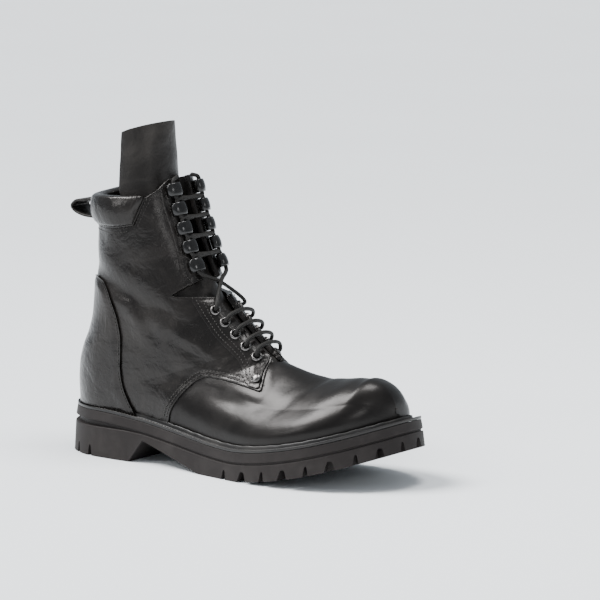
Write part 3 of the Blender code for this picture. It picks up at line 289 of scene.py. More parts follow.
def upperSlope(row, v):
    # outward normal: cross product of the steps along the rows and across them
    r = np.clip(row, 0.02, toeRow - 0.12)
    w = np.where(v < 0, -1, 1) * np.minimum(np.abs(v), np.where(row < heelRow + 0.03, 0.95, 0.985))
    du = upperPoint(r + 0.02, w) - upperPoint(r - 0.02, w)
    dv = upperPoint(r, w + 0.012) - upperPoint(r, w - 0.012)
    return unit(np.cross(du, dv))


def upperFrame(row, v):
    # point and outward normal. Where the two sides meet, the normal is their mean
    row, v = np.broadcast_arrays(np.asarray(row, float), np.asarray(v, float))
    p = upperPoint(row, v)
    n = upperSlope(row, v)
    other = upperSlope(row, -v)
    shared = (n + other) * [1, 0, 1]
    meets = (np.abs(p - upperPoint(row, -v)).max(-1) < 0.02 * mm)[..., None]
    n = np.where(meets, shared, n)
    return p, unit(n)


def upperLayer(row, v, offset):
    # the upper's form moved out along its normal
    p, n = upperFrame(row, v)
    return p + n * np.asarray(offset)[..., None]


def inverseRow(x, z):
    # section row and share along it for points in the side view: halving on the row until its
    # section line passes through the point
    low = np.zeros(np.shape(x))
    high = np.full(np.shape(x), float(toeRow))
    for step in range(34):
        row = (low + high) / 2
        ax, az, bx, bz = sectionLine(row)
        ahead = (bx - ax) * (z - az) - (bz - az) * (x - ax) < 0
        low = np.where(ahead, row, low)
        high = np.where(ahead, high, row)
    ax, az, bx, bz = sectionLine(row)
    t = ((x - ax) * (bx - ax) + (z - az) * (bz - az)) / ((bx - ax) ** 2 + (bz - az) ** 2)
    return row, np.clip(t, 0, 1)


def surfaceSpot(x, z, side):
    # row and v of points given in the side view, on the outer (-1) or inner (1) side
    row, t = inverseRow(np.asarray(x, float), np.asarray(z, float))
    foot = blend(row, heelRow + 1, heelRow + 5)
    low = np.zeros(row.shape)
    high = np.ones(row.shape)
    for step in range(30):
        a = (low + high) / 2
        share = (1 - foot) * (1 + np.cos(np.pi * a)) / 2 + foot * (1 - a ** 1.7)
        low = np.where(share > t, a, low)
        high = np.where(share > t, high, a)
    return row, side * a


def sidePoint(s, h):
    # share along the foot and share of the shaft's height to side-view metres
    x = footStart + footLength * np.asarray(s, float)
    return np.stack([x, weltTop(x) + last["shaftHeight"] * np.asarray(h, float)], -1)


def sideRun(points, count=60):
    # smooth run through side-view shares
    p = roundCurve([tuple(q) for q in sidePoint(*np.array(points).T)], count)
    return p


def lineDistance(line, x, z):
    # distance to an open line in the side view, nearest of its straight pieces, and the share along it
    a = line[:-1]
    d = line[1:] - a
    best = np.full(np.shape(x), 1.0)
    share = np.zeros(np.shape(x))
    for k, ((ax, az), (dx, dz)) in enumerate(zip(a, d)):
        t = np.clip(((x - ax) * dx + (z - az) * dz) / (dx * dx + dz * dz + 1e-18), 0, 1)
        gap = (x - ax - t * dx) ** 2 + (z - az - t * dz) ** 2
        share = np.where(gap < best, (k + t) / len(a), share)
        best = np.minimum(best, gap)
    return np.sqrt(best), share


def outlineDistance(outline, x, z):
    # signed distance to a closed outline, positive inside: nearest of its straight pieces, with
    # the sign from the crossings of a ray
    inside = np.zeros(np.shape(x), bool)
    for (ax, az), (bx, bz) in zip(outline, np.roll(outline, -1, 0)):
        slope = (bx - ax) / (bz - az + (bz == az) * 1e-12)
        inside ^= ((az > z) != (bz > z)) & (x < ax + slope * (z - az))
    return np.where(inside, 1, -1) * lineDistance(np.vstack([outline, outline[:1]]), x, z)[0]


def slotDistance(p, path, half):
    # distance of points from a slot along a path with a half width at each of its points
    best = np.full(p.shape[:-1], 1.0)
    for q, h in zip(path, np.broadcast_to(half, len(path))):
        best = np.minimum(best, np.sqrt(((p - q) ** 2).sum(-1)) - h)
    return best


# Soft folds of the leather, given one by one: side (0 both), run of side-view shares, half width
# and height in mm (a trough is negative)
folds = [
    (0, [(0.055, 0.700), (0.130, 0.640), (0.230, 0.565), (0.340, 0.520)], 6.5, -1.25),
    (0, [(0.075, 0.780), (0.160, 0.715), (0.260, 0.640), (0.350, 0.610)], 8.0, 0.95),
    (0, [(0.110, 0.590), (0.200, 0.520), (0.300, 0.455), (0.390, 0.430)], 7.0, 0.95),
    (-1, [(0.235, 0.500), (0.262, 0.430), (0.292, 0.345)], 5.0, 0.85),
    (-1, [(0.262, 0.520), (0.300, 0.440), (0.328, 0.360)], 4.6, -0.85),
    (-1, [(0.345, 0.470), (0.390, 0.425), (0.430, 0.400), (0.500, 0.345)], 5.0, 0.85),
    (-1, [(0.350, 0.410), (0.410, 0.365), (0.480, 0.320)], 4.4, -0.60),
    (-1, [(0.300, 0.560), (0.350, 0.520), (0.405, 0.495)], 4.0, -0.50),
    (1, [(0.240, 0.480), (0.300, 0.400), (0.370, 0.340)], 6.0, 0.85),
    (1, [(0.280, 0.530), (0.350, 0.450), (0.440, 0.400)], 5.0, -0.75),
    (1, [(0.330, 0.380), (0.420, 0.320), (0.510, 0.300)], 5.0, -0.55),
    (0, [(0.105, 1.000), (0.125, 0.880), (0.150, 0.760)], 5.5, -0.70),
    (0, [(0.140, 1.040), (0.165, 0.900), (0.185, 0.780)], 6.0, 0.55),
    (0, [(0.225, 1.020), (0.240, 0.900), (0.262, 0.760)], 7.0, -0.35),
    (-1, [(0.480, 0.205), (0.545, 0.190), (0.620, 0.175), (0.700, 0.185)], 5.0, -0.60),
    (-1, [(0.520, 0.235), (0.590, 0.228), (0.660, 0.225)], 4.0, 0.35),
    (-1, [(0.455, 0.150), (0.540, 0.135), (0.640, 0.125)], 7.0, 0.40),
    (1, [(0.500, 0.200), (0.600, 0.180), (0.700, 0.185)], 6.0, -0.50),
    (0, [(0.660, 0.290), (0.700, 0.262), (0.755, 0.245)], 5.0, -0.45),
    (0, [(0.700, 0.275), (0.760, 0.262), (0.820, 0.262)], 6.0, 0.30),
]
foldLines = [(side, sideRun(run, 16), width * mm, height * mm) for side, run, width, height in folds]


def unevenness(p):
    # slow waves of the hide: sums of sines along three slanted directions
    x, y, z = np.moveaxis(p / mm, -1, 0)
    slow = np.sin(x / 9.1 + z / 13.3 + 1.1) * np.sin(z / 8.7 - y / 12.1 + 0.4)
    slow = slow + 0.7 * np.sin(x / 5.3 - z / 6.9 + y / 8.3) * np.sin(x / 7.9 + z / 5.1 + 2.0)
    fine = np.sin(x / 2.9 + y / 3.7 + 0.8) * np.sin(z / 3.1 - x / 4.7)
    return slow, fine


def skin(p, v):
    # height of the leather over the smooth form: folds, slow waves at the ankle, calm at the toe
    out = np.zeros(p.shape[:-1])
    for side, line, width, height in foldLines:
        gap, share = lineDistance(line, p[..., 0], p[..., 2])
        fade = np.sin(np.pi * np.clip(share, 0.02, 0.98)) ** 0.6
        if side:
            fade = fade * (v * side > 0)
        out = out + height * fade * np.exp(-(gap / width) ** 2)
    x, z = p[..., 0], p[..., 2]
    ankle = np.exp(-((z - 0.105) / 0.045) ** 2) * blend(x, 0.03, 0.07) * (1 - blend(x, 0.17, 0.22))
    calm = 0.22 + 0.9 * ankle + 0.25 * blend(z, 0.13, 0.17)
    slow, fine = unevenness(p)
    return out + (slow * 0.20 * calm + fine * 0.035 * calm) * mm


def evenRows(first, final, spacing, v=0.5):
    # rows evenly spaced over the leather
    row = np.linspace(first, final, 400)
    p = upperPoint(row, v + 0 * row)
    run = runOf(p)
    return np.interp(np.linspace(0, run[-1], max(8, int(run[-1] / spacing * detail))), run, row)


def putMesh(name, points, faces, material, body="boot", smooth=180):
    # faces: list of index tuples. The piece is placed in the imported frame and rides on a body
    mesh = bpy.data.meshes.new(name)
    mesh.from_pydata((np.asarray(points).reshape(-1, 3) + origin).tolist(), [], faces)
    mesh.shade_smooth()
    if smooth < 180:
        mesh.set_sharp_from_angle(angle=np.radians(smooth))
    mesh.materials.append(material)
    made = bpy.data.objects.new(name, mesh)
    bpy.context.scene.collection.objects.link(made)
    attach(made, body)
    return made


def tidyMesh(made, merge=0.01 * mm, outward=True):
    work = bmesh.new()
    work.from_mesh(made.data)
    bmesh.ops.remove_doubles(work, verts=work.verts, dist=merge)
    bmesh.ops.dissolve_degenerate(work, edges=work.edges, dist=0.001 * mm)
    if outward:
        bmesh.ops.recalc_face_normals(work, faces=work.faces)
    work.to_mesh(made.data)
    work.free()
    return made


def turnOutward(made, fill=0):
    # closes holes of up to so many sides, then turns every face outwards
    work = bmesh.new()
    work.from_mesh(made.data)
    if fill:
        bmesh.ops.holes_fill(work, edges=[q for q in work.edges if q.is_boundary], sides=fill)
    bmesh.ops.recalc_face_normals(work, faces=work.faces)
    work.to_mesh(made.data)
    work.free()
    return made


def closeEnds(made, sides=80, sharp=50):
    turnOutward(made, sides)
    made.data.shade_smooth()
    made.data.set_sharp_from_angle(angle=np.radians(sharp))
    return made


def addThickness(made, thickness, offset=-1):
    step = made.modifiers.new("thickness", "SOLIDIFY")
    step.thickness = thickness
    step.offset = offset


def finishBevel(made, width, segments=2, angle=50):
    step = made.modifiers.new("edge", "BEVEL")
    step.width = width
    step.segments = segments
    step.limit_method = "ANGLE"
    step.angle_limit = np.radians(angle)
    return made


def stripFaces(rows, columns, closed=False):
    # quads of a grid, turned so that rows x columns points outwards
    i, j = np.meshgrid(np.arange(rows - 1), np.arange(columns if closed else columns - 1), indexing="ij")
    a = i * columns + j
    b = i * columns + (j + 1) % columns
    return np.stack([a, a + columns, b + columns, b], -1).reshape(-1, 4)


def snapGrid(rows, steps, field):
    # grid points nearest to a field's zero line are drawn onto it, so that a panel gets a clean
    # edge: each crossing on a grid edge pulls its nearer end along that edge
    row, v = np.meshgrid(rows, steps, indexing="ij")
    f = field(row, v)
    pull = np.zeros(f.shape)
    target = np.stack([row, v], -1)
    base = target.copy()
    best = np.full(f.shape, 9.0)
    for axis in (0, 1):
        first = [slice(None), slice(None)]
        second = [slice(None), slice(None)]
        first[axis] = slice(0, -1)
        second[axis] = slice(1, None)
        first, second = tuple(first), tuple(second)
        fa, fb = f[first], f[second]
        cross = fa * fb < 0
        t = np.where(cross, fa / np.where(cross, fa - fb, 1), 0)
        point = base[first] + t[..., None] * (base[second] - base[first])
        for where, share, spot in ((first, t, t <= 0.5), (second, 1 - t, t > 0.5)):
            hit = cross & spot & (share < best[where])
            b = best[where]
            b[hit] = share[hit]
            q = target[where]
            q[hit] = point[hit]
            z = pull[where]
            z[hit] = 1
    f = np.where(pull > 0, 0, f)
    return target[..., 0], target[..., 1], f


def panelFaces(f, skip=None):
    # faces inside a snapped field: whole quads, and a triangle where one corner lies outside
    index = np.arange(f.size).reshape(f.shape)
    cells = np.stack([index[:-1, :-1], index[1:, :-1], index[1:, 1:], index[:-1, 1:]], -1)
    value = f.ravel()[cells]
    good = (value > 0).any(-1)
    if skip is not None:
        good = good & ~skip
    outside = (value < 0).sum(-1)
    faces = cells[good & (outside == 0)].tolist()
    for k in range(4):
        kept = [(k + 1) % 4, (k + 2) % 4, (k + 3) % 4]
        faces += cells[good & (outside == 1) & (value[..., k] < 0)][:, kept].tolist()
    return faces


def panel(name, field, rows, steps, height, depth, material, lip=0.45 * mm, smooth=180):
    # a leather panel: the upper's form raised by height, inside field > 0, with an edge that is
    # rounded over a quarter turn and goes down by depth
    row, v, f = snapGrid(rows, steps, field)
    p, n = upperFrame(row, v)
    wrap = (np.abs(v[:, :-1] + v[:, 1:]) < 1e-9) & (np.abs(v[:, :-1]) > 0.999)
    raised = p + n * (height(row, v, p, np.where(f > 0, f, 0)) + skin(p, v))[..., None]
    if rows[-1] == toeRow and len(steps) % 2 and abs(steps[0] + steps[-1]) < 1e-9:
        raised[-1] = (raised[-1] + raised[-1][::-1]) / 2     # both sides meet at the toe's tip
    skip = wrap[:-1] | wrap[1:]
    faces = panelFaces(f, skip)
    made = putMesh(name, raised, faces, material)
    work = bmesh.new()
    work.from_mesh(made.data)
    bmesh.ops.delete(work, geom=[q for q in work.verts if not q.link_faces], context="VERTS")
    bmesh.ops.remove_doubles(work, verts=work.verts, dist=0.02 * mm)
    work.normal_update()
    rim = [edge for edge in work.edges if len(edge.link_faces) == 1]
    work.verts.index_update()
    ring = sorted({q for edge in rim for q in edge.verts}, key=lambda q: q.index)
    out = {q: Vector() for q in ring}
    for edge in rim:
        face = edge.link_faces[0]
        loop = next(l for l in face.loops if l.edge == edge)
        along = loop.link_loop_next.vert.co - loop.vert.co
        away = along.cross(face.normal).normalized() * along.length
        for q in edge.verts:
            out[q] += away
    normals = {q: q.normal.copy() for q in ring}
    order = []
    for edge in rim:
        loop = next(l for l in edge.link_faces[0].loops if l.edge == edge)
        order.append((loop.vert, loop.link_loop_next.vert))
    former = {q: q for q in ring}
    for angle, drop in ((35, 0), (70, 0), (90, depth - lip)):
        a = np.radians(angle)
        fresh = {}
        for q in ring:
            shift = out[q].normalized() * (lip * np.sin(a)) - normals[q] * (lip * (1 - np.cos(a)) + drop)
            fresh[q] = work.verts.new(q.co + shift)
        for q, r in order:
            work.faces.new((former[r], former[q], fresh[q], fresh[r]))
        former = fresh
    for face in work.faces:
        face.smooth = True
    work.to_mesh(made.data)
    work.free()
    return made


# finishes: shared node groups, then the materials that use them
def newGroup(name, inputs):
    # a group with these inputs that gives a colour, a roughness and a normal
    group = bpy.data.node_groups.new(name, "ShaderNodeTree")
    for label, value in inputs.items():
        kind = "NodeSocketColor" if isinstance(value, tuple) else "NodeSocketFloat"
        group.interface.new_socket(label, in_out="INPUT", socket_type=kind).default_value = value
    for label, kind in (("Colour", "Color"), ("Roughness", "Float"), ("Normal", "Vector")):
        group.interface.new_socket(label, in_out="OUTPUT", socket_type="NodeSocket" + kind)
    return group, group.nodes.new("NodeGroupInput").outputs, group.nodes.new("NodeGroupOutput").inputs


def feed(tree, socket, value):
    # a socket takes another node's output or a plain value
    if hasattr(value, "links"):
        tree.links.new(value, socket)
    else:
        socket.default_value = value


def node(tree, kind, values, **settings):
    made = tree.nodes.new(kind)
    for key, value in settings.items():
        setattr(made, key, value)
    for key, value in values.items():
        feed(tree, made.inputs[key], value)
    return made


def mathNode(tree, operation, a, b=0.0):
    return node(tree, "ShaderNodeMath", {0: a, 1: b}, operation=operation).outputs[0]


def rampNode(tree, factor, low, high, start=0.0, end=1.0):
    # start to end while the factor goes from low to high
    return node(tree, "ShaderNodeMapRange", {0: factor, 1: low, 2: high, 3: start, 4: end}, clamp=True).outputs[0]


def mixColour(tree, factor, a, b, how="MIX"):
    return node(tree, "ShaderNodeMix", {0: factor, 6: a, 7: b}, data_type="RGBA", blend_type=how).outputs[2]


def noiseNode(tree, where, scale, detail, roughness=0.5, distortion=0.0):
    return node(tree, "ShaderNodeTexNoise", {"Vector": where, "Scale": scale, "Detail": detail,
                                             "Roughness": roughness, "Distortion": distortion}).outputs["Fac"]


def bumpNode(tree, height, distance, strength, normal=None):
    values = {"Distance": distance, "Strength": strength, "Height": height}
    if normal is not None:
        values["Normal"] = normal
    return node(tree, "ShaderNodeBump", values).outputs["Normal"]


# leather: fine pores and hair-line creases darkened with painted shade, slow dents, worn and dusty patches that are
# partly painted sheen
leatherSkin, inn, out = newGroup("leatherSkin", {
    "Colour": (0.02, 0.018, 0.017, 1), "Worn And Sheen": (0.06, 0.055, 0.05, 1), "Wear And Sheen": 0.3, "Pore Size": 0.8, "Depth": 0.5,
    "Dents": 0.5, "Gloss Low": 0.34, "Gloss High": 0.5})
t = leatherSkin
where = t.nodes.new("ShaderNodeTexCoord").outputs["Object"]
scale = mathNode(t, "DIVIDE", 1000.0, inn["Pore Size"])
pores = node(t, "ShaderNodeTexVoronoi", {"Vector": where, "Scale": scale, "Randomness": 0.9, "Smoothness": 0.35},
             feature="SMOOTH_F1").outputs["Distance"]
cells = node(t, "ShaderNodeTexVoronoi", {"Vector": where, "Scale": mathNode(t, "MULTIPLY", scale, 0.42),
                                         "Randomness": 1.0}, feature="DISTANCE_TO_EDGE").outputs["Distance"]
hair = noiseNode(t, where, 900.0, 4.0, 0.6, 0.4)
slow = noiseNode(t, where, 62.0, 4.0, 0.55, 0.6)
dents = noiseNode(t, where, 135.0, 3.0, 0.5, 0.8)
patch = noiseNode(t, where, 24.0, 5.0, 0.6, 0.9)
height = mathNode(t, "ADD", mathNode(t, "MULTIPLY", rampNode(t, pores, 0.05, 0.65), 0.5),
                  mathNode(t, "MULTIPLY", rampNode(t, cells, 0.0, 0.10), 0.35))
height = mathNode(t, "ADD", height, mathNode(t, "MULTIPLY", hair, 0.5))
both = mathNode(t, "ADD", mathNode(t, "MULTIPLY", slow, 0.75), mathNode(t, "MULTIPLY", dents, 0.25))
# lighter patches from slow noise: partly wear, partly painted sheen
wornAndSheen = mathNode(t, "MULTIPLY", rampNode(t, patch, 0.46, 0.72), inn["Wear And Sheen"])
# painted shade: the colour is darkened where the grain's height is low, in the pores and along the crease lines
poreShade = rampNode(t, height, 0.3, 1.0, 0.82, 1.0)
poreShadeTone = node(t, "ShaderNodeCombineColor", {0: poreShade, 1: poreShade, 2: poreShade}).outputs[0]
base = mixColour(t, 1.0, inn["Colour"], poreShadeTone, "MULTIPLY")
feed(t, out["Colour"], mixColour(t, wornAndSheen, base, inn["Worn And Sheen"]))
feed(t, out["Roughness"], rampNode(t, patch, 0.3, 0.7, inn["Gloss Low"], inn["Gloss High"]))
feed(t, out["Normal"], bumpNode(t, both, 0.0019, inn["Dents"], bumpNode(t, height, 0.00006, inn["Depth"])))

# moulded rubber: fine spark-eroded texture, faint mould marks, dust in random patches
rubberSkin, inn, out = newGroup("rubberSkin", {
    "Colour": (0.03, 0.029, 0.029, 1), "Dust": (0.12, 0.115, 0.11, 1), "Dust Share": 0.2, "Depth": 0.4})
t = rubberSkin
where = t.nodes.new("ShaderNodeTexCoord").outputs["Object"]
cloud = noiseNode(t, where, 45.0, 5.0, 0.62, 0.5)
dusty = mathNode(t, "MULTIPLY", rampNode(t, cloud, 0.45, 0.75), inn["Dust Share"])
feed(t, out["Colour"], mixColour(t, dusty, inn["Colour"], inn["Dust"]))
feed(t, out["Roughness"], rampNode(t, cloud, 0.3, 0.7, 0.50, 0.66))
feed(t, out["Normal"], bumpNode(t, noiseNode(t, where, 1500.0, 3.0, 0.65), 0.00008, inn["Depth"]))

# twisted or braided yarn: slanted ridges along the piece's own length, from its UV map, with painted highlight on
# their crests and painted shade between them
yarnTwist, inn, out = newGroup("yarnTwist", {
    "Colour": (0.03, 0.028, 0.027, 1), "Light": (0.07, 0.066, 0.062, 1), "Along": 300.0, "Around": 4.0, "Depth": 0.8})
t = yarnTwist
split = node(t, "ShaderNodeSeparateXYZ", {0: t.nodes.new("ShaderNodeUVMap").outputs[0]}).outputs
u = mathNode(t, "MULTIPLY", split[0], inn["Along"])
w = mathNode(t, "MULTIPLY", split[1], inn["Around"])
turn = 6.28318
one, two = [mathNode(t, "SINE", mathNode(t, "MULTIPLY", mathNode(t, way, u, w), turn)) for way in ("ADD", "SUBTRACT")]
braid = mathNode(t, "MAXIMUM", mathNode(t, "ABSOLUTE", one), mathNode(t, "ABSOLUTE", two))
# painted highlight on the ridges' crests, painted shade in the grooves between them
feed(t, out["Colour"], mixColour(t, rampNode(t, braid, 0.55, 1.0), inn["Colour"], inn["Light"]))
feed(t, out["Roughness"], rampNode(t, braid, 0.5, 1.0, 0.72, 0.5))
feed(t, out["Normal"], bumpNode(t, braid, 0.00022, inn["Depth"]))

# metal: hair-line scratches and slow smudges
metalSkin, inn, out = newGroup("metalSkin", {
    "Colour": (0.5, 0.5, 0.5, 1), "Smudge": (0.3, 0.29, 0.28, 1), "Gloss Low": 0.15, "Gloss High": 0.35})
t = metalSkin
where = t.nodes.new("ShaderNodeTexCoord").outputs["Object"]
smudge = noiseNode(t, where, 260.0, 4.0, 0.6)
feed(t, out["Colour"], mixColour(t, rampNode(t, smudge, 0.4, 0.7), inn["Colour"], inn["Smudge"]))
feed(t, out["Roughness"], rampNode(t, smudge, 0.3, 0.7, inn["Gloss Low"], inn["Gloss High"]))
feed(t, out["Normal"], bumpNode(t, noiseNode(t, where, 1900.0, 2.0, 0.5, 2.5), 0.00003, 0.35))


def finish(name, group, values, **plain):
    # a material that takes colour, roughness and normal from a group and the rest from plain values
    made = bpy.data.materials.new(name)
    made.use_nodes = True
    tree = made.node_tree
    shader = tree.nodes["Principled BSDF"]
    skinNode = tree.nodes.new("ShaderNodeGroup")
    skinNode.node_tree = group
    for key, value in values.items():
        skinNode.inputs[key].default_value = (*value, 1) if isinstance(value, tuple) else value
    for key, socket in (("Colour", "Base Color"), ("Roughness", "Roughness"), ("Normal", "Normal")):
        tree.links.new(skinNode.outputs[key], shader.inputs[socket])
    for key, value in plain.items():
        shader.inputs[key.replace("_", " ")].default_value = value
    return made


warmTint = (1.0, 0.955, 0.925, 1)      # of the black pieces' highlights
calf = finish("blackCalf", leatherSkin, {
    "Colour": (0.0050, 0.0042, 0.0038), "Worn And Sheen": (0.0240, 0.0205, 0.0185), "Wear And Sheen": 0.50, "Pore Size": 0.75,
    "Depth": 0.50, "Dents": 0.85, "Gloss Low": 0.22, "Gloss High": 0.36}, Specular_IOR_Level=0.27,
    Coat_Weight=0.08, Coat_Roughness=0.18, Specular_Tint=warmTint)
calfToe = finish("blackCalfPolished", leatherSkin, {
    "Colour": (0.0046, 0.0039, 0.0036), "Worn And Sheen": (0.0170, 0.0148, 0.0135), "Wear And Sheen": 0.35, "Pore Size": 0.72,
    "Depth": 0.36, "Dents": 0.17, "Gloss Low": 0.27, "Gloss High": 0.38}, Specular_IOR_Level=0.20,
    Coat_Weight=0.06, Coat_Roughness=0.20, Specular_Tint=warmTint)
# the soft leather's lighter patches are partly wear and partly painted sheen
calfSoft = finish("blackCalfSoft", leatherSkin, {
    "Colour": (0.0072, 0.0062, 0.0056), "Worn And Sheen": (0.0380, 0.0335, 0.0300), "Wear And Sheen": 0.65, "Pore Size": 0.85,
    "Depth": 0.7, "Dents": 0.60, "Gloss Low": 0.34, "Gloss High": 0.52}, Specular_IOR_Level=0.26,
    Specular_Tint=warmTint)
liningLeather = finish("liningLeather", leatherSkin, {
    "Colour": (0.016, 0.0135, 0.0120), "Worn And Sheen": (0.034, 0.030, 0.027), "Wear And Sheen": 0.5, "Pore Size": 1.0,
    "Depth": 0.6, "Dents": 0.3, "Gloss Low": 0.55, "Gloss High": 0.7}, Specular_IOR_Level=0.3)
weltEdgeSkin = finish("weltEdge", leatherSkin, {
    "Colour": (0.0105, 0.0095, 0.0090), "Worn And Sheen": (0.044, 0.040, 0.036), "Wear And Sheen": 0.5, "Pore Size": 0.6,
    "Depth": 0.5, "Dents": 0.2, "Gloss Low": 0.32, "Gloss High": 0.48}, Specular_IOR_Level=0.34)
soleRubber = finish("soleRubber", rubberSkin, {
    "Colour": (0.0165, 0.0142, 0.0138), "Dust": (0.044, 0.039, 0.037), "Dust Share": 0.40, "Depth": 0.5},
    Specular_IOR_Level=0.18, Specular_Tint=warmTint)
# thread and lace: the lighter colour on their ridges is painted highlight
thread = finish("waxedThread", yarnTwist, {
    "Colour": (0.007, 0.0060, 0.0055), "Light": (0.040, 0.035, 0.031), "Along": 1.5, "Around": 1.0, "Depth": 0.6},
    Specular_IOR_Level=0.40)
laceYarn = finish("laceYarn", yarnTwist, {
    "Colour": (0.004, 0.0036, 0.0034), "Light": (0.024, 0.022, 0.020), "Along": 1.0, "Around": 5.0, "Depth": 0.9},
    Specular_IOR_Level=0.22)
tapeWeave = finish("tapeWeave", rubberSkin, {
    "Colour": (0.016, 0.015, 0.015), "Dust": (0.05, 0.048, 0.045), "Dust Share": 0.4, "Depth": 0.9},
    Specular_IOR_Level=0.3)
hookMetal = finish("hookMetal", metalSkin, {
    "Colour": (0.0030, 0.0027, 0.0026), "Smudge": (0.008, 0.007, 0.0065), "Gloss Low": 0.13, "Gloss High": 0.24},
    Specular_IOR_Level=0.36, Coat_Weight=0.18, Coat_Roughness=0.06)
ringMetal = finish("ringMetal", metalSkin, {
    "Colour": (0.20, 0.19, 0.185), "Smudge": (0.10, 0.095, 0.09), "Gloss Low": 0.18, "Gloss High": 0.34},
    Metallic=1.0)
zipMetal = finish("zipMetal", metalSkin, {
    "Colour": (0.64, 0.61, 0.57), "Smudge": (0.42, 0.39, 0.35), "Gloss Low": 0.16, "Gloss High": 0.34},
    Metallic=1.0)
deepShade = finish("eyeletShade", rubberSkin, {
    "Colour": (0.004, 0.004, 0.004), "Dust": (0.010, 0.010, 0.010), "Dust Share": 0.3, "Depth": 0.3},
    Specular_IOR_Level=0.1)
print("finishes made")


# the upper's panels
upperCut = {
    "lap": 6.0 * mm,            # how far the vamp runs under the quarters
    "spacing": 1.15 * mm,       # of the leather's mesh
    "stitchRows": (1.9 * mm, 4.5 * mm),     # from a panel's edge
    "trough": 0.30 * mm,        # how deep the thread pulls the leather in
    "zipSlot": 9.0 * mm,
}
low = last["quarterStep"] + last["clearance"]
seamShares = [(0.352, 0.000), (0.358, 0.030), (0.366, 0.075), (0.382, 0.125), (0.407, 0.185), (0.434, 0.238),
              (0.462, 0.268), (0.500, 0.274), (0.542, 0.272), (0.590, 0.262), (0.640, 0.243)]
counterShares = [(0.245, 0.000), (0.226, 0.058), (0.209, 0.131), (0.202, 0.210), (0.205, 0.300), (0.203, 0.380),
                 (0.190, 0.470), (0.168, 0.560), (0.146, 0.603)]
stayShares = [(0.632, 0.252), (0.600, 0.262), (0.580, 0.288), (0.566, 0.322), (0.548, 0.359), (0.520, 0.398),
              (0.479, 0.449), (0.436, 0.522), (0.404, 0.588)]
columnShares = [(0.387, 0.655), (0.368, 0.690), (0.344, 0.800), (0.321, 0.906), (0.292, 1.049), (0.275, 1.300)]
seamLine = sideRun(seamShares, 70)
counterLine = sideRun(counterShares, 60)
stayLine = sideRun(stayShares[1:], 60)
columnLine = sideRun(columnShares, 40)
shares = lambda *points: sidePoint(*np.array(points, float).T)
quarterOutline = np.vstack([shares((-0.3, -0.3), (0.352, -0.3)), seamLine,
                            shares((0.609, 0.412), (0.700, 1.600), (-0.3, 1.600))])
counterOutline = np.vstack([shares((-0.3, -0.3), (0.245, -0.3)), counterLine,
                            shares((0.100, 0.622), (0.060, 0.640), (-0.3, 0.640))])
lowerFacingOutline = np.vstack([shares((0.632, 0.252)), stayLine, shares(
    (0.400, 0.603), (0.470, 0.612), (0.560, 0.700), (0.700, 0.700), (0.606, 0.406))])
upperFacingOutline = np.vstack([shares((0.405, 0.690)), columnLine, shares((0.400, 1.300), (0.560, 0.690))])
notchOutline = np.vstack([sideRun([(0.400, 0.604), (0.375, 0.5985), (0.357, 0.596), (0.3515, 0.603),
                                   (0.358, 0.614), (0.378, 0.646), (0.400, 0.682)], 24),
                          shares((0.560, 0.830), (0.560, 0.630), (0.465, 0.613))])
throatRow = np.linspace(0, last["throatEnd"], 90)
throatPath = upperPoint(throatRow, 0 * throatRow)
throatPath[0] += (throatPath[0] - throatPath[1]) * 6
throatHalf = (last["throatTop"] + (last["throatFoot"] - last["throatTop"]) * throatRow / last["throatEnd"]) / 2
zipPath = [(0.0, 0.430), (1.0, 0.453), (2.0, 0.464), (3.0, 0.467), (4.0, 0.457), (5.0, 0.437), (6.0, 0.424),
           (7.0, 0.413), (8.0, 0.393)]
zipRows = 8.0


def zipFrame(row):
    # points down the zip with their outward normal and the direction across it
    t = column(zipPath, 1, row)
    v = np.arccos(2 * t - 1) / np.pi
    p, n = upperFrame(row, v)
    return p, n, unit(np.cross(n, np.gradient(p, axis=0)))


zipSpots = zipFrame(np.linspace(0, zipRows, 110))[0]
zipSpots[0] += (zipSpots[0] - zipSpots[1]) * 6


def throatField(p):
    return slotDistance(p, throatPath, throatHalf)


def zipField(p, side):
    return slotDistance(p, zipSpots, upperCut["zipSlot"] / 2) if side > 0 else 1.0


def collarTop(v):
    # how far the collar's edge lies below the first section row, in rows: it dips on the outer side
    outer = np.interp(-v, [0, 0.12, 0.20, 0.29, 0.38, 0.60, 0.85, 1.0], [0, 0.06, 0.36, 0.58, 0.54, 0.34, 0.20, 0.14])
    return np.where(v < 0, outer, np.interp(v, [0, 0.62, 0.85, 1.0], [0, 0.02, 0.08, 0.14]))


def collarField(row, v):
    return (row - collarTop(v)) * shaftRow


def quarterField(row, v, side):
    p = upperPoint(row, v)
    x, z = p[..., 0], p[..., 2]
    f = np.minimum(outlineDistance(quarterOutline, x, z), throatField(p))
    f = np.minimum(f, -outlineDistance(notchOutline, x, z))
    return np.minimum(np.minimum(f, zipField(p, side)), collarField(row, v) + 0.001 * mm)


def troughs(f, lines, depth=upperCut["trough"]):
    return sum(-depth * np.exp(-((f - line) / (0.8 * mm)) ** 2) for line in lines)


def quarterHeight(row, v, p, f):
    x, z = p[..., 0], p[..., 2]
    seam = np.abs(outlineDistance(quarterOutline, x, z))
    # raised by a step, with troughs along the stitch rows
    out = last["quarterStep"] + troughs(seam, upperCut["stitchRows"]) * (z < 0.105)
    # butt seam down the back, and the stitched line beside the zip
    back = (x - backLine(z) < 4 * mm) & (row < heelRow)
    out = out - 0.55 * mm * np.exp(-(p[..., 1] / (0.9 * mm)) ** 2) * back
    return out - 0.22 * mm * np.exp(-((f - 2.2 * mm) / (0.8 * mm)) ** 2) * (z > 0.09)


def vampField(row, v):
    p = upperPoint(row, v)
    f = upperCut["lap"] - outlineDistance(quarterOutline, p[..., 0], p[..., 2])
    return np.minimum(f, throatField(p))


def vampHeight(row, v, p, f):
    # pressed down a little under the quarter's edge, full just in front of it
    seam = -outlineDistance(quarterOutline, p[..., 0], p[..., 2])
    return 0.25 * mm * np.exp(-((seam - 4 * mm) / (3 * mm)) ** 2) - 0.15 * mm * (seam < 0)


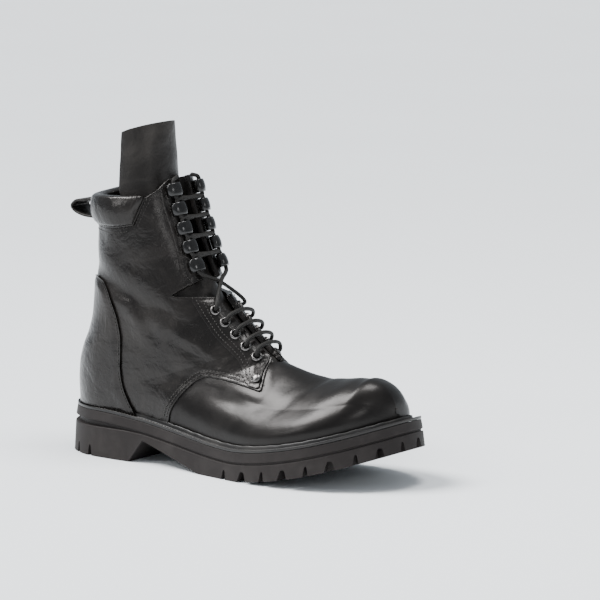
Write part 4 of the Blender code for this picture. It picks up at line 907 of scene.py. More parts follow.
print("vamp and quarters")
footSteps = np.linspace(-1, 1, int(176 * detail) | 1)
vamp = panel("vamp", vampField, evenRows(10.9, 23, upperCut["spacing"]), footSteps, vampHeight, 1.6 * mm, calfToe)
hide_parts("upper")
quarterRows = evenRows(0, 14.4, upperCut["spacing"])
for word, side in (("outer", -1), ("inner", 1)):
    steps = np.sort(np.linspace(0, side, int(104 * detail)))
    made = panel(f"quarter_{word}", lambda row, v: quarterField(row, v, side), quarterRows, steps,
                 quarterHeight, last["wall"] + last["quarterStep"], calf)
    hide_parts("upper")


def liningField(row, v):
    p = upperPoint(row, v)
    f = np.minimum(throatField(p), collarField(row, v))
    return np.minimum(f, -outlineDistance(notchOutline, p[..., 0], p[..., 2]))


# lining: the inside of the wall from the collar down to the insole, closed behind the zip
row, v, field = snapGrid(evenRows(0, 22.6, 2.6 * mm), np.linspace(-1, 1, 91), liningField)
inside = upperLayer(row, v, -last["wall"] + 0 * v)
lining = putMesh("lining", inside, [q[::-1] for q in panelFaces(field)], liningLeather)
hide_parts("upper")

# heel counter and the four facings, skived thin at their edges
overlayShape = {"edge": 0.65 * mm, "ramp": 6.5 * mm}


def overlayHeight(row, v, p, f):
    # from the skived edge up to full thickness over the ramp, with the stitch rows' troughs
    rise = last["overlay"] - overlayShape["edge"]
    return low + overlayShape["edge"] + rise * blend(f, 0, overlayShape["ramp"]) + troughs(f, upperCut["stitchRows"])


def counterField(row, v):
    p = upperPoint(row, v)
    return outlineDistance(counterOutline, p[..., 0], p[..., 2])


counterSteps = np.linspace(-0.30, -1, int(74 * detail))
counterSteps = np.r_[counterSteps, -counterSteps[::-1]]
counter = panel("heelCounter", counterField, evenRows(3.4, 13.2, upperCut["spacing"]), counterSteps,
                overlayHeight, overlayShape["edge"] + 0.2 * mm, calf)
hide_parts("heel_counter")


def facingField(row, v, outline):
    p = upperPoint(row, v)
    f = np.minimum(outlineDistance(outline, p[..., 0], p[..., 2]), throatField(p))
    return np.minimum(f, collarField(row, v) + 0.001 * mm)


def facingHeight(f, edge):
    return low + edge + (last["overlay"] - edge) * blend(f, 0, overlayShape["ramp"]) + troughs(
        f, upperCut["stitchRows"], 0.22 * mm)


# name, outline, first and last row, height of the skived edge
facings = [("lower", lowerFacingOutline, 4.5, 14.6, overlayShape["edge"]),
           ("upper", upperFacingOutline, 0, 6.5, 0.15 * mm)]
for word, side in (("outer", -1), ("inner", 1)):
    steps = np.sort(side * np.linspace(0.02, 0.64, int(68 * detail)))
    for part, outline, first, final, edge in facings:
        made = panel(f"facing_{part}_{word}_leather", lambda row, v: facingField(row, v, outline),
                     evenRows(first, final, 1.0 * mm), steps, lambda row, v, p, f: facingHeight(f, edge),
                     edge + 0.2 * mm, calf, lip=0.35 * mm)
        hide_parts(f"facing_{part}_{word}")
print("counter and facings")


# padded cuff
cuff = {"lowerRow": 1.16, "dip": 0.34, "puff": 5.2 * mm, "frontOuter": (0.300, 0.400), "frontInner": (0.600, 0.590),
        "pipe": 1.0 * mm, "levels": 34}
around = np.linspace(0, 1, int(170 * detail))[None, :]


def cuffSpot(s, share):
    # s: 0 at the collar, 1 at the lower edge; share: 0 at the outer front end, 1 at the inner one
    a = cuff["frontOuter"][0] + (cuff["frontOuter"][1] - cuff["frontOuter"][0]) * s
    b = cuff["frontInner"][0] + (cuff["frontInner"][1] - cuff["frontInner"][0]) * s
    split = (1 - a) / ((1 - a) + (1 - b))
    v = np.where(share <= split, -(a + (1 - a) * share / split), 1 - (1 - b) * (share - split) / (1 - split))
    drop = np.where(v > 0, cuff["lowerRow"], cuff["lowerRow"] + cuff["dip"] * blend(v, -0.85, -0.45))
    top = collarTop(v)
    return top + s * (drop - top), v


def cuffSurface():
    # a crowned band up the back of the collar, half a turn over its edge, and a short way down
    # inside: height is the puff less a power of the distance from its middle
    ends = np.clip(np.minimum(around, 1 - around) / 0.035, 0, 1) ** 0.55
    stack = []
    for s in np.linspace(1, 0, cuff["levels"]):
        row, v = cuffSpot(s, around)
        p, n = upperFrame(row, v)
        rise = cuff["puff"] * (1 - np.abs(1.25 * s - 0.50) ** 2.4 * 1.35) * ends
        rise = rise * blend(s, 1.06, 0.93) + 0.35 * mm * skinWave(p)
        stack.append(p + n * (low + 0.7 * mm + rise)[..., None])
    row, v = cuffSpot(0.0, around)
    p, n = upperFrame(row + 0 * v, v)
    up = upperPoint(row + 0 * v, v) - upperPoint(row + 0.1 + 0 * v, v)
    up = unit(up)
    outward = np.linalg.norm(stack[-1] - p, axis=-1)
    inward = -last["wall"] - 1.1 * mm
    for angle in np.linspace(0.12, 1, 12) * np.pi:
        middle, radius = (outward + inward) / 2, (outward - inward) / 2
        stack.append(p + n * (middle + radius * np.cos(angle))[..., None] + up * (
            0.62 * radius * np.sin(angle))[..., None])
    for s in (0.12, 0.26, 0.38):
        q, m = upperFrame(row + s, v)
        stack.append(q + m * (inward + s * 2.2 * mm))
    return np.concatenate(stack, 0)


def skinWave(p):
    slow, fine = unevenness(p)
    return slow * 0.5 + fine * 0.12


surface = cuffSurface()
cuffPad = turnOutward(putMesh("cuffPad", surface, stripFaces(*surface.shape[:2]).tolist(), calf))
addThickness(cuffPad, 0.7 * mm)
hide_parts("cuff")


def tubeRings(path, radius, count, flat=1.0, closed=False):
    # rings round a path: a side vector carried along it, turned by even angles
    along = np.gradient(path, axis=0)
    if closed:
        along = np.roll(path, -1, 0) - np.roll(path, 1, 0)
    along = unit(along)
    side = np.cross(along[0], [0.3, 0.2, 1.0])
    sides = []
    for d in along:
        side = unit(side - d * (side @ d))
        sides.append(side)
    sides = np.array(sides)
    other = np.cross(along, sides)
    a = np.linspace(0, 2 * np.pi, count, endpoint=False)
    radius = np.broadcast_to(radius, len(path))[:, None, None]
    return path[:, None] + radius * (np.cos(a)[None, :, None] * sides[:, None] + flat * np.sin(a)[None, :, None]
                                     * other[:, None])


def tubePiece(name, path, radius, count, material, flat=1.0, closed=False, body="boot"):
    # a tube with round ends and a UV map: u metres along, v share around
    rings = tubeRings(path, radius, count, flat, closed)
    if not closed:
        ends = []
        for q, d, centre in ((rings[0], path[0] - path[1], path[0]), (rings[-1], path[-1] - path[-2], path[-1])):
            r = np.linalg.norm(q[0] - centre)
            ends.append([centre + (q - centre) * c + unit(d) * r * s
                         for c, s in ((0.85, 0.45), (0.5, 0.8), (0.02, 0.95))])
        rings = np.concatenate([np.array(ends[0])[::-1], rings, np.array(ends[1])], 0)
    rows = len(rings)
    faces = stripFaces(rows, count, closed=True)
    if closed:
        k = np.arange(count)
        m = (k + 1) % count
        end = (rows - 1) * count
        faces = np.vstack([faces, np.stack([end + k, k, m, end + m], -1)])
    made = putMesh(name, rings, faces.tolist(), material, body=body)
    run = runOf(rings.mean(1))
    layer = made.data.uv_layers.new(name="UVMap")
    index = np.empty(len(made.data.loops), np.int32)
    made.data.loops.foreach_get("vertex_index", index)
    i, j = index // count, index % count
    uv = np.stack([run[i], j / count], -1)
    quads = j.reshape(-1, 4)
    seamed = (quads.max(1) == count - 1)[:, None] & (quads == 0)
    uv[:, 1] = np.where(seamed.reshape(-1), 1.0, uv[:, 1])
    layer.data.foreach_set("uv", uv.reshape(-1).astype(np.float32))
    work = bmesh.new()
    work.from_mesh(made.data)
    placed = path + origin
    facing = 0.0        # above 0 where the first faces look away from the path
    for face in list(work.faces)[:400]:
        middle = face.calc_center_median()
        nearest = placed[np.argmin(np.linalg.norm(placed - np.array(middle), axis=1))]
        facing += face.calc_area() * face.normal.dot(middle - Vector(nearest))
    if facing < 0:
        bmesh.ops.reverse_faces(work, faces=work.faces)
    work.to_mesh(made.data)
    work.free()
    return made


pipeShare = np.linspace(0, 1, 150)
row, v = cuffSpot(1.0, pipeShare)
pipePath = upperLayer(row, v, low + 0.35 * mm + 0 * v)
piping = tubePiece("cuffPiping", pipePath, cuff["pipe"], 10, calf)
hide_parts("cuff")
s = np.linspace(0, 1.0, 30)
row, v = cuffSpot(s, 0 * s)
piping = tubePiece("cuffPipingFront", upperLayer(row, v, low + 0.3 * mm + 0 * v), 0.8 * mm, 10, calf)
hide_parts("cuff")
print("cuff")


# tongue: a curved strip behind the facings, standing above the collar
tongue = {"thick": 2.2 * mm, "rise": 44.5 * mm, "crown": 2.0 * mm, "bend": 28 * mm,
          "rows": [(-2.0, 0.60, 9.5), (0.0, 0.57, 9.5), (1.0, 0.47, 9.0), (2.0, 0.44, 8.0), (3.3, 0.40, 6.5),
                   (4.6, 0.36, 5.0), (7.0, 0.33, 3.9), (10.0, 0.30, 3.0), (12.0, 0.27, 2.6)]}


def tongueGrid(extra, row, share):
    # the tongue lies at a depth behind the ridge. Above the collar it rises straight up, narrows
    # a little and has a crowned top
    v = share[None, :] * column(tongue["rows"], 1, row[:, None])
    row = row[:, None]
    depth = column(tongue["rows"], 2, row) * mm + extra
    p = upperLayer(np.maximum(row, 0), v, -depth)
    up = np.clip(-row / 2, 0, 1) + 0 * v
    middle = p[:, :, 0].max(axis=1, keepdims=True) - tongue["bend"]
    p[:, :, 0] = middle + (p[:, :, 0] - middle) * (1 - 0.13 * up) + 1.0 * mm * up
    p[:, :, 1] *= 1 - 0.15 * up
    crown = (np.cos(v / 0.5 * np.pi / 2) - 1) * tongue["crown"]
    top = sectionLine(0.0)[3]
    p[:, :, 2] += up * (tongue["rise"] + crown) + up * 0.2 * (top - p[:, :, 2])
    p[:, :, 0] += unevenness(p)[0] * 0.22 * mm
    return p


def closedSheet(name, high, deep, material, bevel=0.5 * mm):
    rows, columns = high.shape[:2]
    count = rows * columns
    faces = stripFaces(rows, columns).tolist()
    faces += [[q + count for q in face[::-1]] for face in faces]
    rim = [i * columns for i in range(rows)] + [(rows - 1) * columns + j for j in range(1, columns)]
    rim += [i * columns + columns - 1 for i in range(rows - 2, -1, -1)] + list(range(columns - 2, 0, -1))
    for a, b in zip(rim, rim[1:] + rim[:1]):
        faces.append([a, b, b + count, a + count])
    made = putMesh(name, np.concatenate([high.reshape(-1, 3), deep.reshape(-1, 3)]), faces, material)
    tidyMesh(made)
    return finishBevel(made, bevel, 3) if bevel else made


tongueRow = np.r_[np.linspace(-2, 0, 40), np.linspace(0.1, 12, 110)]
tongueShare = np.linspace(-1, 1, 61)
made = closedSheet("tongueLeather", tongueGrid(0.0, tongueRow, tongueShare),
                   tongueGrid(tongue["thick"], tongueRow, tongueShare), calfSoft)
made.data.set_sharp_from_angle(angle=np.radians(60))
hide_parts("tongue")
print("tongue")


# welt: a bead against the upper, a stitched channel and a flat rim
weltShape = {"stitch": 2.9 * mm, "thread": 0.50 * mm}
count = int(620 * detail)
run = np.linspace(0, 1, count, endpoint=False)


def featherLoop(offset, height):
    # the upper's foot line at a height above the welt, outer side heel to toe and back inside
    rows = evenRows(heelRow - 1.6, toeRow, 1.2 * mm, 0.9)
    halves = []
    for side in (-1, 1):
        row, v = np.meshgrid(rows, side * np.linspace(0.45, 1, 70), indexing="ij")
        layer = upperLayer(row, v, offset + 0 * v)
        line = []
        for points, above in zip(layer, layer[..., 2] - weltTop(layer[..., 0]) - height):
            hit = np.nonzero(above[:-1] * above[1:] <= 0)[0]
            if len(hit):
                m = hit[-1]
                t = -above[m] / (above[m + 1] - above[m] + 1e-12)
                line.append(points[m] * (1 - t) + points[m + 1] * t)
        halves.append(np.array(line))
    return np.vstack([halves[0], halves[1][::-1]])


def evenLoop(points, count):
    # a closed loop resampled evenly and calmed a little, starting at the back of the heel
    points = np.roll(points, -np.argmin(points[:, 0]), 0)
    keep = np.r_[True, np.linalg.norm(np.diff(points, axis=0), axis=1) > 0.05 * mm]
    points = points[keep]
    closed = np.vstack([points, points[:1]])
    run = runOf(closed)
    return calm(atRun(np.linspace(0, run[-1], count, endpoint=False), run, closed), 3)


def calm(loop, rounds):
    # each point of a closed loop drawn halfway to the mean of its neighbours
    for step in range(rounds):
        loop = (np.roll(loop, 1, 0) + 2 * loop + np.roll(loop, -1, 0)) / 4
    return loop


head = evenLoop(featherLoop(0.35 * mm, last["clearance"] + 1.2 * mm), count)
edgeLine = soleOutline(sole["weltInset"], 2401)


def halfShare(points):
    # share along a closed loop, 0 to 1 from the heel to the toe and 1 to 2 on the way back
    points = np.vstack([points, points[:1]])
    s = runOf(points)
    toe = np.argmax(points[:, 0])
    return np.where(s <= s[toe], s / s[toe], 1 + (s - s[toe]) / (s[-1] - s[toe]))


edgeLine = np.roll(edgeLine, -np.argmin(edgeLine[:, 0]), 0)
edgeShare, headShare = halfShare(edgeLine), halfShare(head[:, :2])[:-1]
edgeLoop = np.vstack([edgeLine, edgeLine[:1]])
rim = calm(atRun(headShare, edgeShare, edgeLoop), 4)
outward = rim - head[:, :2]
reach = np.linalg.norm(outward, axis=1)
outward = outward / reach[:, None]
beadHigh, channel = sole["beadHeight"], sole["channelDepth"]
weltProfile = [(-0.9 * mm, -1.9 * mm), (-0.5 * mm, beadHigh - 1.3 * mm), (0.0, beadHigh - 0.45 * mm),
               (0.45 * mm, beadHigh - 0.05 * mm), (1.0 * mm, beadHigh + 0.05 * mm), (1.55 * mm, beadHigh - 0.35 * mm),
               (1.95 * mm, beadHigh - 1.15 * mm), (2.2 * mm, beadHigh - 2.1 * mm), (2.45 * mm, -channel),
               (3.0 * mm, -channel - 0.1 * mm)]
rimProfile = [(-2.2 * mm, -channel - 0.1 * mm), (-1.6 * mm, -channel + 0.1 * mm), (-1.25 * mm, -0.15 * mm),
              (-0.8 * mm, 0.0), (-0.35 * mm, 0.0), (-0.08 * mm, -0.15 * mm), (0.0, -0.45 * mm), (0.0, -1.2 * mm),
              (0.0, last["clearance"] - sole["weltThick"]), (-1.2 * mm, last["clearance"] - sole["weltThick"])]
wave = 0.12 * mm * np.sin(run * 2 * np.pi * 61) + 0.10 * mm * np.sin(run * 2 * np.pi * 37 + 1)


def weltRing(distance, height):
    xy = head[:, :2] + outward * distance[:, None]
    return np.c_[xy, weltTop(xy[:, 0]) + height]


weltRings = [weltRing(np.minimum(d + 0 * reach, 0.62 * reach), h + wave * (h > 0)) for d, h in weltProfile]
weltRings += [weltRing(np.maximum(reach + d, 0.66 * reach), h + 0 * reach) for d, h in rimProfile]
weltRings = np.array(weltRings).transpose(1, 0, 2)


i, j = np.meshgrid(np.arange(count), np.arange(weltRings.shape[1]), indexing="ij")
columns = weltRings.shape[1]
k, m = (i + 1) % count, (j + 1) % columns
faces = np.stack([i * columns + j, k * columns + j, k * columns + m, i * columns + m], -1).reshape(-1, 4)
welt = putMesh("weltStrip", weltRings, faces.tolist(), weltEdgeSkin)
tidyMesh(welt)
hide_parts("welt")


# stitches: one joined mesh of small thread bumps, each a bent capsule lying on the leather
stitch = {"radius": 0.36 * mm, "fine": 0.28 * mm, "sides": 8, "seam": 2.75 * mm, "stay": 2.6 * mm,
          "column": 2.3 * mm, "counter": 2.5 * mm, "cuff": 2.4 * mm, "zip": 2.8 * mm, "zipInset": 7.2 * mm,
          # rings of one stitch: share along it, radius share, height in radii
          "rings": [(-1.0, 0.35, -0.25), (-0.78, 0.85, 0.30), (-0.3, 1.0, 0.62), (0.3, 1.0, 0.62),
                    (0.78, 0.85, 0.30), (1.0, 0.35, -0.25)]}
stitchParts = []


def stitchRow(points, normals, pitch, radius=stitch["radius"], share=0.70, slant=0.0):
    # thread bumps along a run of points: half-sunk at their ends, highest in the middle
    s = runOf(points)
    number = max(2, int(s[-1] / pitch))
    middle = (np.arange(number) + 0.5) * s[-1] / number
    half = s[-1] / number * share / 2
    normal = unit(atRun(middle, s, normals))
    along = unit(atRun(middle + half, s, points) - atRun(middle - half, s, points))
    side = np.cross(normal, along)
    a = np.linspace(0, 2 * np.pi, stitch["sides"], endpoint=False)[None, :, None]
    rings = []
    for u, r, h in stitch["rings"]:
        spot = atRun(middle + u * half, s, points) + normal * h * radius + side * slant * u * half
        rings.append(spot[:, None] + r * radius * (np.cos(a) * side[:, None] + 0.85 * np.sin(a) * normal[:, None]))
    stitchParts.append(np.stack(rings, 1))


def rowOnUpper(line, side, height, shift=0.0):
    # points and normals on the upper for a run in the side view, at a height over the plain form
    if shift:
        d = unit(np.gradient(line, axis=0))
        line = line + np.stack([-d[:, 1], d[:, 0]], 1) * shift
    row, v = surfaceSpot(line[:, 0], line[:, 1], side)
    p, n = upperFrame(row, v)
    return p + n * (height + skin(p, v))[:, None], n


def onQuarter(row, v, pitch, inset=0.0, direction=(0, 0, 0), radius=stitch["fine"], sunk=0.1 * mm):
    # a stitch row on the quarters, moved by an inset along a fixed direction
    p, n = upperFrame(row, v)
    if inset:
        q = p + np.array(direction) * inset
        row, v = surfaceSpot(q[:, 0], q[:, 2], -1)
        p, n = upperFrame(row, v)
    stitchRow(p + n * (last["quarterStep"] - sunk + skin(p, v))[:, None], n, pitch, radius)


overlayTop = lambda inset: low + overlayShape["edge"] + (last["overlay"] - overlayShape["edge"]) * float(
    blend(np.array(inset), 0, overlayShape["ramp"]))
for side in (-1, 1):
    for inset in upperCut["stitchRows"]:
        p, n = rowOnUpper(sideRun(seamShares, 260)[14:], side, last["quarterStep"] - 0.12 * mm, inset)
        clear = throatField(p) > 0
        stitchRow(p[clear], n[clear], stitch["seam"])
        p, n = rowOnUpper(sideRun(stayShares[1:], 260), side, overlayTop(inset) - 0.05 * mm, -inset)
        stitchRow(p, n, stitch["stay"])
        p, n = rowOnUpper(sideRun(columnShares[:-1], 260), side, low + 0.15 * mm + 0.3 * mm, -inset)
        stitchRow(p, n, stitch["column"], stitch["fine"])
    inset = upperCut["stitchRows"][0]
    p, n = rowOnUpper(sideRun(counterShares, 300)[20:], side, overlayTop(inset) - 0.05 * mm, inset)
    stitchRow(p, n, stitch["counter"], 0.26 * mm)
share = np.linspace(0.02, 1, 120)
for inset in (1.7 * mm, 3.9 * mm):
    onQuarter(*cuffSpot(share * 1.08, 0 * share), stitch["cuff"], inset, (1.0, 0, 0))
    row, v = cuffSpot(1.0 + 0 * share, 0.02 + 0.96 * share)
    onQuarter(row + inset / shaftRow, v, stitch["cuff"])
print("stitch rows")

# welt stitches lie in the channel
middle = head[:, :2] + outward * (0.5 * (2.75 * mm + np.maximum(reach - 1.6 * mm, 2.9 * mm)))[:, None]
line = np.c_[middle, weltTop(middle[:, 0]) - channel + 0.05 * mm]
stitchRow(np.vstack([line, line[:1]]), np.tile([0.0, 0, 1], (len(line) + 1, 1)), pitch=weltShape["stitch"],
          radius=weltShape["thread"], share=0.74, slant=0.22)


# zip: tape, teeth, slider and pull
row = np.linspace(0.06, zipRows - 0.06, int(150 * detail))
p, n, across = zipFrame(row)
tapeHalf = upperCut["zipSlot"] / 2 + 3.0 * mm
offsets = [(-tapeHalf, -2.3), (-3.8 * mm, -1.1), (-1.6 * mm, -0.55), (0.0, -0.5), (1.6 * mm, -0.55), (3.8 * mm, -1.1),
           (tapeHalf, -2.3)]
tapeMesh = np.stack([p + across * w + n * (h * mm) for w, h in offsets], 1)
zipTape = putMesh("zipTapeWeave", tapeMesh, stripFaces(*tapeMesh.shape[:2]).tolist(), tapeWeave)
addThickness(zipTape, 0.5 * mm)
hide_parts("zip_tape")
zipSize = {"pitch": 1.35 * mm, "tooth": (2.9 * mm, 0.86 * mm, 1.25 * mm)}
fineRow = np.linspace(0.08, zipRows - 0.14, 900)
fp, fn, fa = zipFrame(fineRow)
s = runOf(fp)
number = int(s[-1] / zipSize["pitch"])
spots = (np.arange(number) + 0.5) * s[-1] / number
tp, tn, ta = atRun(spots, s, fp), unit(atRun(spots, s, fn)), atRun(spots, s, fa)
td = np.cross(ta, tn)
side = np.where(np.arange(number) % 2, 1.0, -1.0)[:, None]
long, wideTooth, high = zipSize["tooth"]
# four rings per tooth: place along it, half its width and half its height
toothRings = [(0.55, 0.5, 0.35), (0.40, 0.5, 0.5), (-0.30, 0.42, 0.5), (-0.45, 0.30, 0.30)]
corners = [(-1, -1), (1, -1), (1, 1), (-1, 1)]
box = np.stack([tp + ta * side * (w * long + 0.45 * mm) + td * (a * d) * wideTooth + tn * (b * h * high + 0.30 * mm)
                for w, d, h in toothRings for a, b in corners], 1)
quads = stripFaces(4, 4, closed=True).tolist() + [(0, 1, 2, 3), (15, 14, 13, 12)]
faces = (np.array(quads)[None] + 16 * np.arange(number)[:, None, None]).reshape(-1, 4)
teeth = putMesh("zipTeethRow", box, faces.tolist(), zipMetal, smooth=35)
tidyMesh(teeth)
teeth.data.set_sharp_from_angle(angle=np.radians(35))
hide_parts("zip_teeth")
for side in (-1, 1):
    q, m, beside = zipFrame(np.linspace(0.15, zipRows - 0.1, 200))
    q = q + beside * side * stitch["zipInset"]
    onQuarter(*surfaceSpot(q[:, 0], q[:, 2], 1), stitch["zip"], radius=0.3 * mm, sunk=0.15 * mm)
print("zip")


# midsole band and lugged outsole
tread = {"breastFoot": 78 * mm, "breastTop": 92 * mm, "ball": 150 * mm, "lugStart": 179 * mm, "pitch": 18.3 * mm,
         "heelPitch": 17.0 * mm, "heelNotches": 8, "below": 6 * mm, "beyond": 4 * mm,
         "groove": [(-1.6, -6), (1.6, -6), (1.2, 3.2), (-1.2, 3.2)]}     # section of a cross groove, mm
edgeFull, edgeInset = soleEdges(0.0), soleEdges(10 * mm)


def soleSide(s, inset, side):
    # a point of the sole's side, s along it from heel to toe, at an inset from the full outline
    x = inset + s * (sole["length"] - 2 * inset)
    full = edgeFull[side](edgeFull[2] + s * (edgeFull[3] - edgeFull[2]))
    small = edgeInset[side](edgeInset[2] + s * (edgeInset[3] - edgeInset[2]))
    return x, full + (small - full) * inset / (10 * mm)


def soleRings(levels, stations):
    # levels: functions of x that give inset and height, top to bottom
    out = []
    for s in stations:
        ring = []
        for side, order in ((0, levels), (1, levels[::-1])):
            for inset, height in order:
                x, y = soleSide(s, inset(s * sole["length"]), side)
                ring.append((x, float(y), float(height(x))))
        out.append(ring)
    return np.array(out)


def ringSolid(name, rings, material):
    # rings across the piece, each first to last, capped at both ends
    rows, columns = rings.shape[:2]
    faces = stripFaces(rows, columns, closed=True).tolist()
    faces += [list(range(columns))[::-1], [(rows - 1) * columns + c for c in range(columns)]]
    made = putMesh(name, rings, faces, material)
    return tidyMesh(made)


stations = np.unique(np.r_[(1 - np.cos(np.linspace(0, np.pi, int(150 * detail)))) / 2,
                           tread["breastFoot"] / sole["length"], tread["breastTop"] / sole["length"]])
soleFlare = sole["flare"]
midsoleTop = lambda x: weltTop(x) - sole["weltThick"]
midsoleFoot = lambda x: midsoleTop(x) - sole["midsoleThick"]
outsoleTop = lambda x: midsoleFoot(x) - last["clearance"]
recess = lambda x: sole["recessHeight"] + (sole["lineHeight"] - sole["recessHeight"]) * blend(x, 40 * mm, 95 * mm)
recessIn = lambda x: sole["heelRecess"] + (sole["lineHeight"] - sole["heelRecess"]) * blend(x, 40 * mm, 95 * mm)


def treadFoot(x):
    # underside: flat heel, breast, waist falling to the ball, then the toe spring
    waist = outsoleTop(tread["breastTop"]) - sole["waistThick"]
    return np.interp(x, [tread["breastFoot"], tread["breastTop"], tread["ball"]], [0, waist, 0]) + spring(x)


inset = sole["weltInset"]
thick = sole["midsoleThick"]
bandLevels = [(lambda x: inset + 0.35 * mm, lambda x: midsoleTop(x) - 0.05 * mm),
              (lambda x: inset - 0.05 * mm, lambda x: midsoleTop(x) - 0.35 * mm),
              (lambda x: inset - 0.1 * mm, lambda x: midsoleTop(x) - 0.9 * mm),
              (lambda x: (inset + soleFlare) / 2 + 0.15 * mm, lambda x: midsoleTop(x) - 0.45 * thick),
              (lambda x: 1.25 * soleFlare, lambda x: midsoleFoot(x) + 0.9 * mm),
              (lambda x: 1.2 * soleFlare, lambda x: midsoleFoot(x) + 0.45 * mm),
              (lambda x: 1.2 * soleFlare + 0.4 * mm, lambda x: midsoleFoot(x) + 0.05 * mm),
              (lambda x: 1.2 * soleFlare + recessIn(x) - 0.2 * mm, lambda x: midsoleFoot(x) + 0.05 * mm),
              (lambda x: 1.2 * soleFlare + recessIn(x), lambda x: outsoleTop(x) + 0.01 * mm)]
midsole = ringSolid("midsoleBand", soleRings(bandLevels, stations), soleRubber)
midsole.data.shade_smooth()
midsole.data.set_sharp_from_angle(angle=np.radians(50))
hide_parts("midsole")
treadLevels = [(lambda x: 1.2 * soleFlare + recessIn(x), outsoleTop),
               (lambda x: 1.2 * soleFlare + recessIn(x), lambda x: outsoleTop(x) - recess(x)),
               (lambda x: soleFlare + 0.5 * mm, lambda x: outsoleTop(x) - recess(x) - 0.15 * mm),
               (lambda x: soleFlare + 0.05 * mm, lambda x: outsoleTop(x) - recess(x) - 0.5 * mm),
               (lambda x: soleFlare * 0.9, lambda x: outsoleTop(x) - recess(x) - 1.2 * mm),
               (lambda x: 0.25 * mm, lambda x: treadFoot(x) + 1.4 * mm),
               (lambda x: 0.0, lambda x: treadFoot(x) + 0.5 * mm),
               (lambda x: 0.45 * mm, treadFoot)]
outsole = ringSolid("outsoleTread", soleRings(treadLevels, stations), soleRubber)
outlineRing = soleOutline(0.0, 1201)
outlineRun = np.r_[0, np.cumsum(np.linalg.norm(np.diff(outlineRing, axis=0, append=outlineRing[:1]), axis=1))]


def notchAt(run, width, depth):
    # a notch that narrows upwards, at a distance along the outline from the heel
    run = run % outlineRun[-1]
    k = np.searchsorted(outlineRun, run) % len(outlineRing)
    here = outlineRing[k]
    along = outlineRing[(k + 3) % len(outlineRing)] - outlineRing[k - 3]
    along /= np.linalg.norm(along)
    inward = np.array([-along[1], along[0]])
    ground = float(spring(here[0]))
    section = [(-0.5, -tread["below"]), (0.5, -tread["below"]), (0.5, 0), (0.34, 0.55 * depth), (0.22, 0.92 * depth),
               (0.12, depth), (-0.12, depth), (-0.22, 0.92 * depth), (-0.34, 0.55 * depth), (-0.5, 0)]
    points = []
    for far in (-tread["beyond"], sole["lugReach"]):
        q = here + inward * far
        points.append([(q[0] + along[0] * w * width, q[1] + along[1] * w * width, ground + z) for w, z in section])
    return np.array(points)


halfway = len(outlineRing) // 2
startOuter = outlineRun[np.argmin(np.abs(outlineRing[:halfway, 0] - tread["lugStart"]))]
startInner = outlineRun[halfway + np.argmin(np.abs(outlineRing[halfway:, 0] - tread["lugStart"]))]
spaces = int((startInner - startOuter) // tread["pitch"])
cuts = [notchAt(startOuter + (startInner - startOuter) * k / spaces,
                sole["notchWide"] if k % 2 else sole["notchNarrow"], sole["lugDepth"]) for k in range(spaces + 1)]
cuts += [notchAt((k + 0.5 - tread["heelNotches"] / 2) * tread["heelPitch"], sole["notchNarrow"], sole["heelLugDepth"])
         for k in range(tread["heelNotches"])]
# shallow cross grooves of the tread between the notches, under the ball and the heel
for x in np.r_[np.arange(0.196, 0.292, 0.0165), np.arange(0.018, 0.074, 0.014)]:
    half = float(np.interp(x, [0.01, 0.03, 0.074, 0.19, 0.25, 0.29], [10, 22, 22, 36, 34, 16])) * mm
    ground = float(spring(x))
    cuts.append(np.array([[(x + w * mm, side * half, ground + z * mm) for w, z in tread["groove"]]
                          for side in (-1, 1)]))
shapes = bmesh.new()
for points in cuts:
    verts = [[shapes.verts.new(Vector(q + origin)) for q in ring] for ring in points]
    columns = len(verts[0])
    shapes.faces.new(verts[0])
    shapes.faces.new(verts[1][::-1])
    for c in range(columns):
        d = (c + 1) % columns
        shapes.faces.new((verts[0][d], verts[0][c], verts[1][c], verts[1][d]))
bmesh.ops.recalc_face_normals(shapes, faces=shapes.faces)
cutMesh = bpy.data.meshes.new("treadCuts")
shapes.to_mesh(cutMesh)
shapes.free()
cutObject = bpy.data.objects.new("treadCuts", cutMesh)
bpy.context.scene.collection.objects.link(cutObject)
boolean = outsole.modifiers.new("cuts", "BOOLEAN")
boolean.object = cutObject
boolean.operation = "DIFFERENCE"
boolean.solver = "MANIFOLD"
bpy.context.view_layer.update()
evaluated = outsole.evaluated_get(bpy.context.evaluated_depsgraph_get())
cutTread = bpy.data.meshes.new_from_object(evaluated)
outsole.modifiers.clear()
outsole.data = cutTread
bpy.data.objects.remove(cutObject)
outsole.data.materials.clear()
outsole.data.materials.append(soleRubber)
outsole.data.shade_smooth()
outsole.data.set_sharp_from_angle(angle=np.radians(32))
finishBevel(outsole, 0.35 * mm, 2, 40)
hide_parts("outsole")
print("sole")


# seats on the facings, as in the part's source
ridgeRows = np.linspace(0, 14, 1401)
ridgeLine = upperPoint(ridgeRows, 0 * ridgeRows)
ridgeRun = runOf(ridgeLine)
throatLength = np.interp(last["throatEnd"], ridgeRows, ridgeRun)
onFacing = low + last["overlay"] + last["clearance"]
fitting = {"eyelet": 4.3 * mm, "hole": 2.4 * mm, "eyeletSpan": (0.666, 0.971), "eyeletReach": (14.8 * mm, 12.6 * mm),
           "hookSpan": (0.060, 0.430), "hookReach": 13.6 * mm, "hookWide": 10.2 * mm, "hookDeep": 12.6 * mm,
           "hookRise": 7.2 * mm, "hookPlate": 1.3 * mm, "rivet": 3.6 * mm, "rivetShare": 1.104, "rivetReach": 23 * mm}


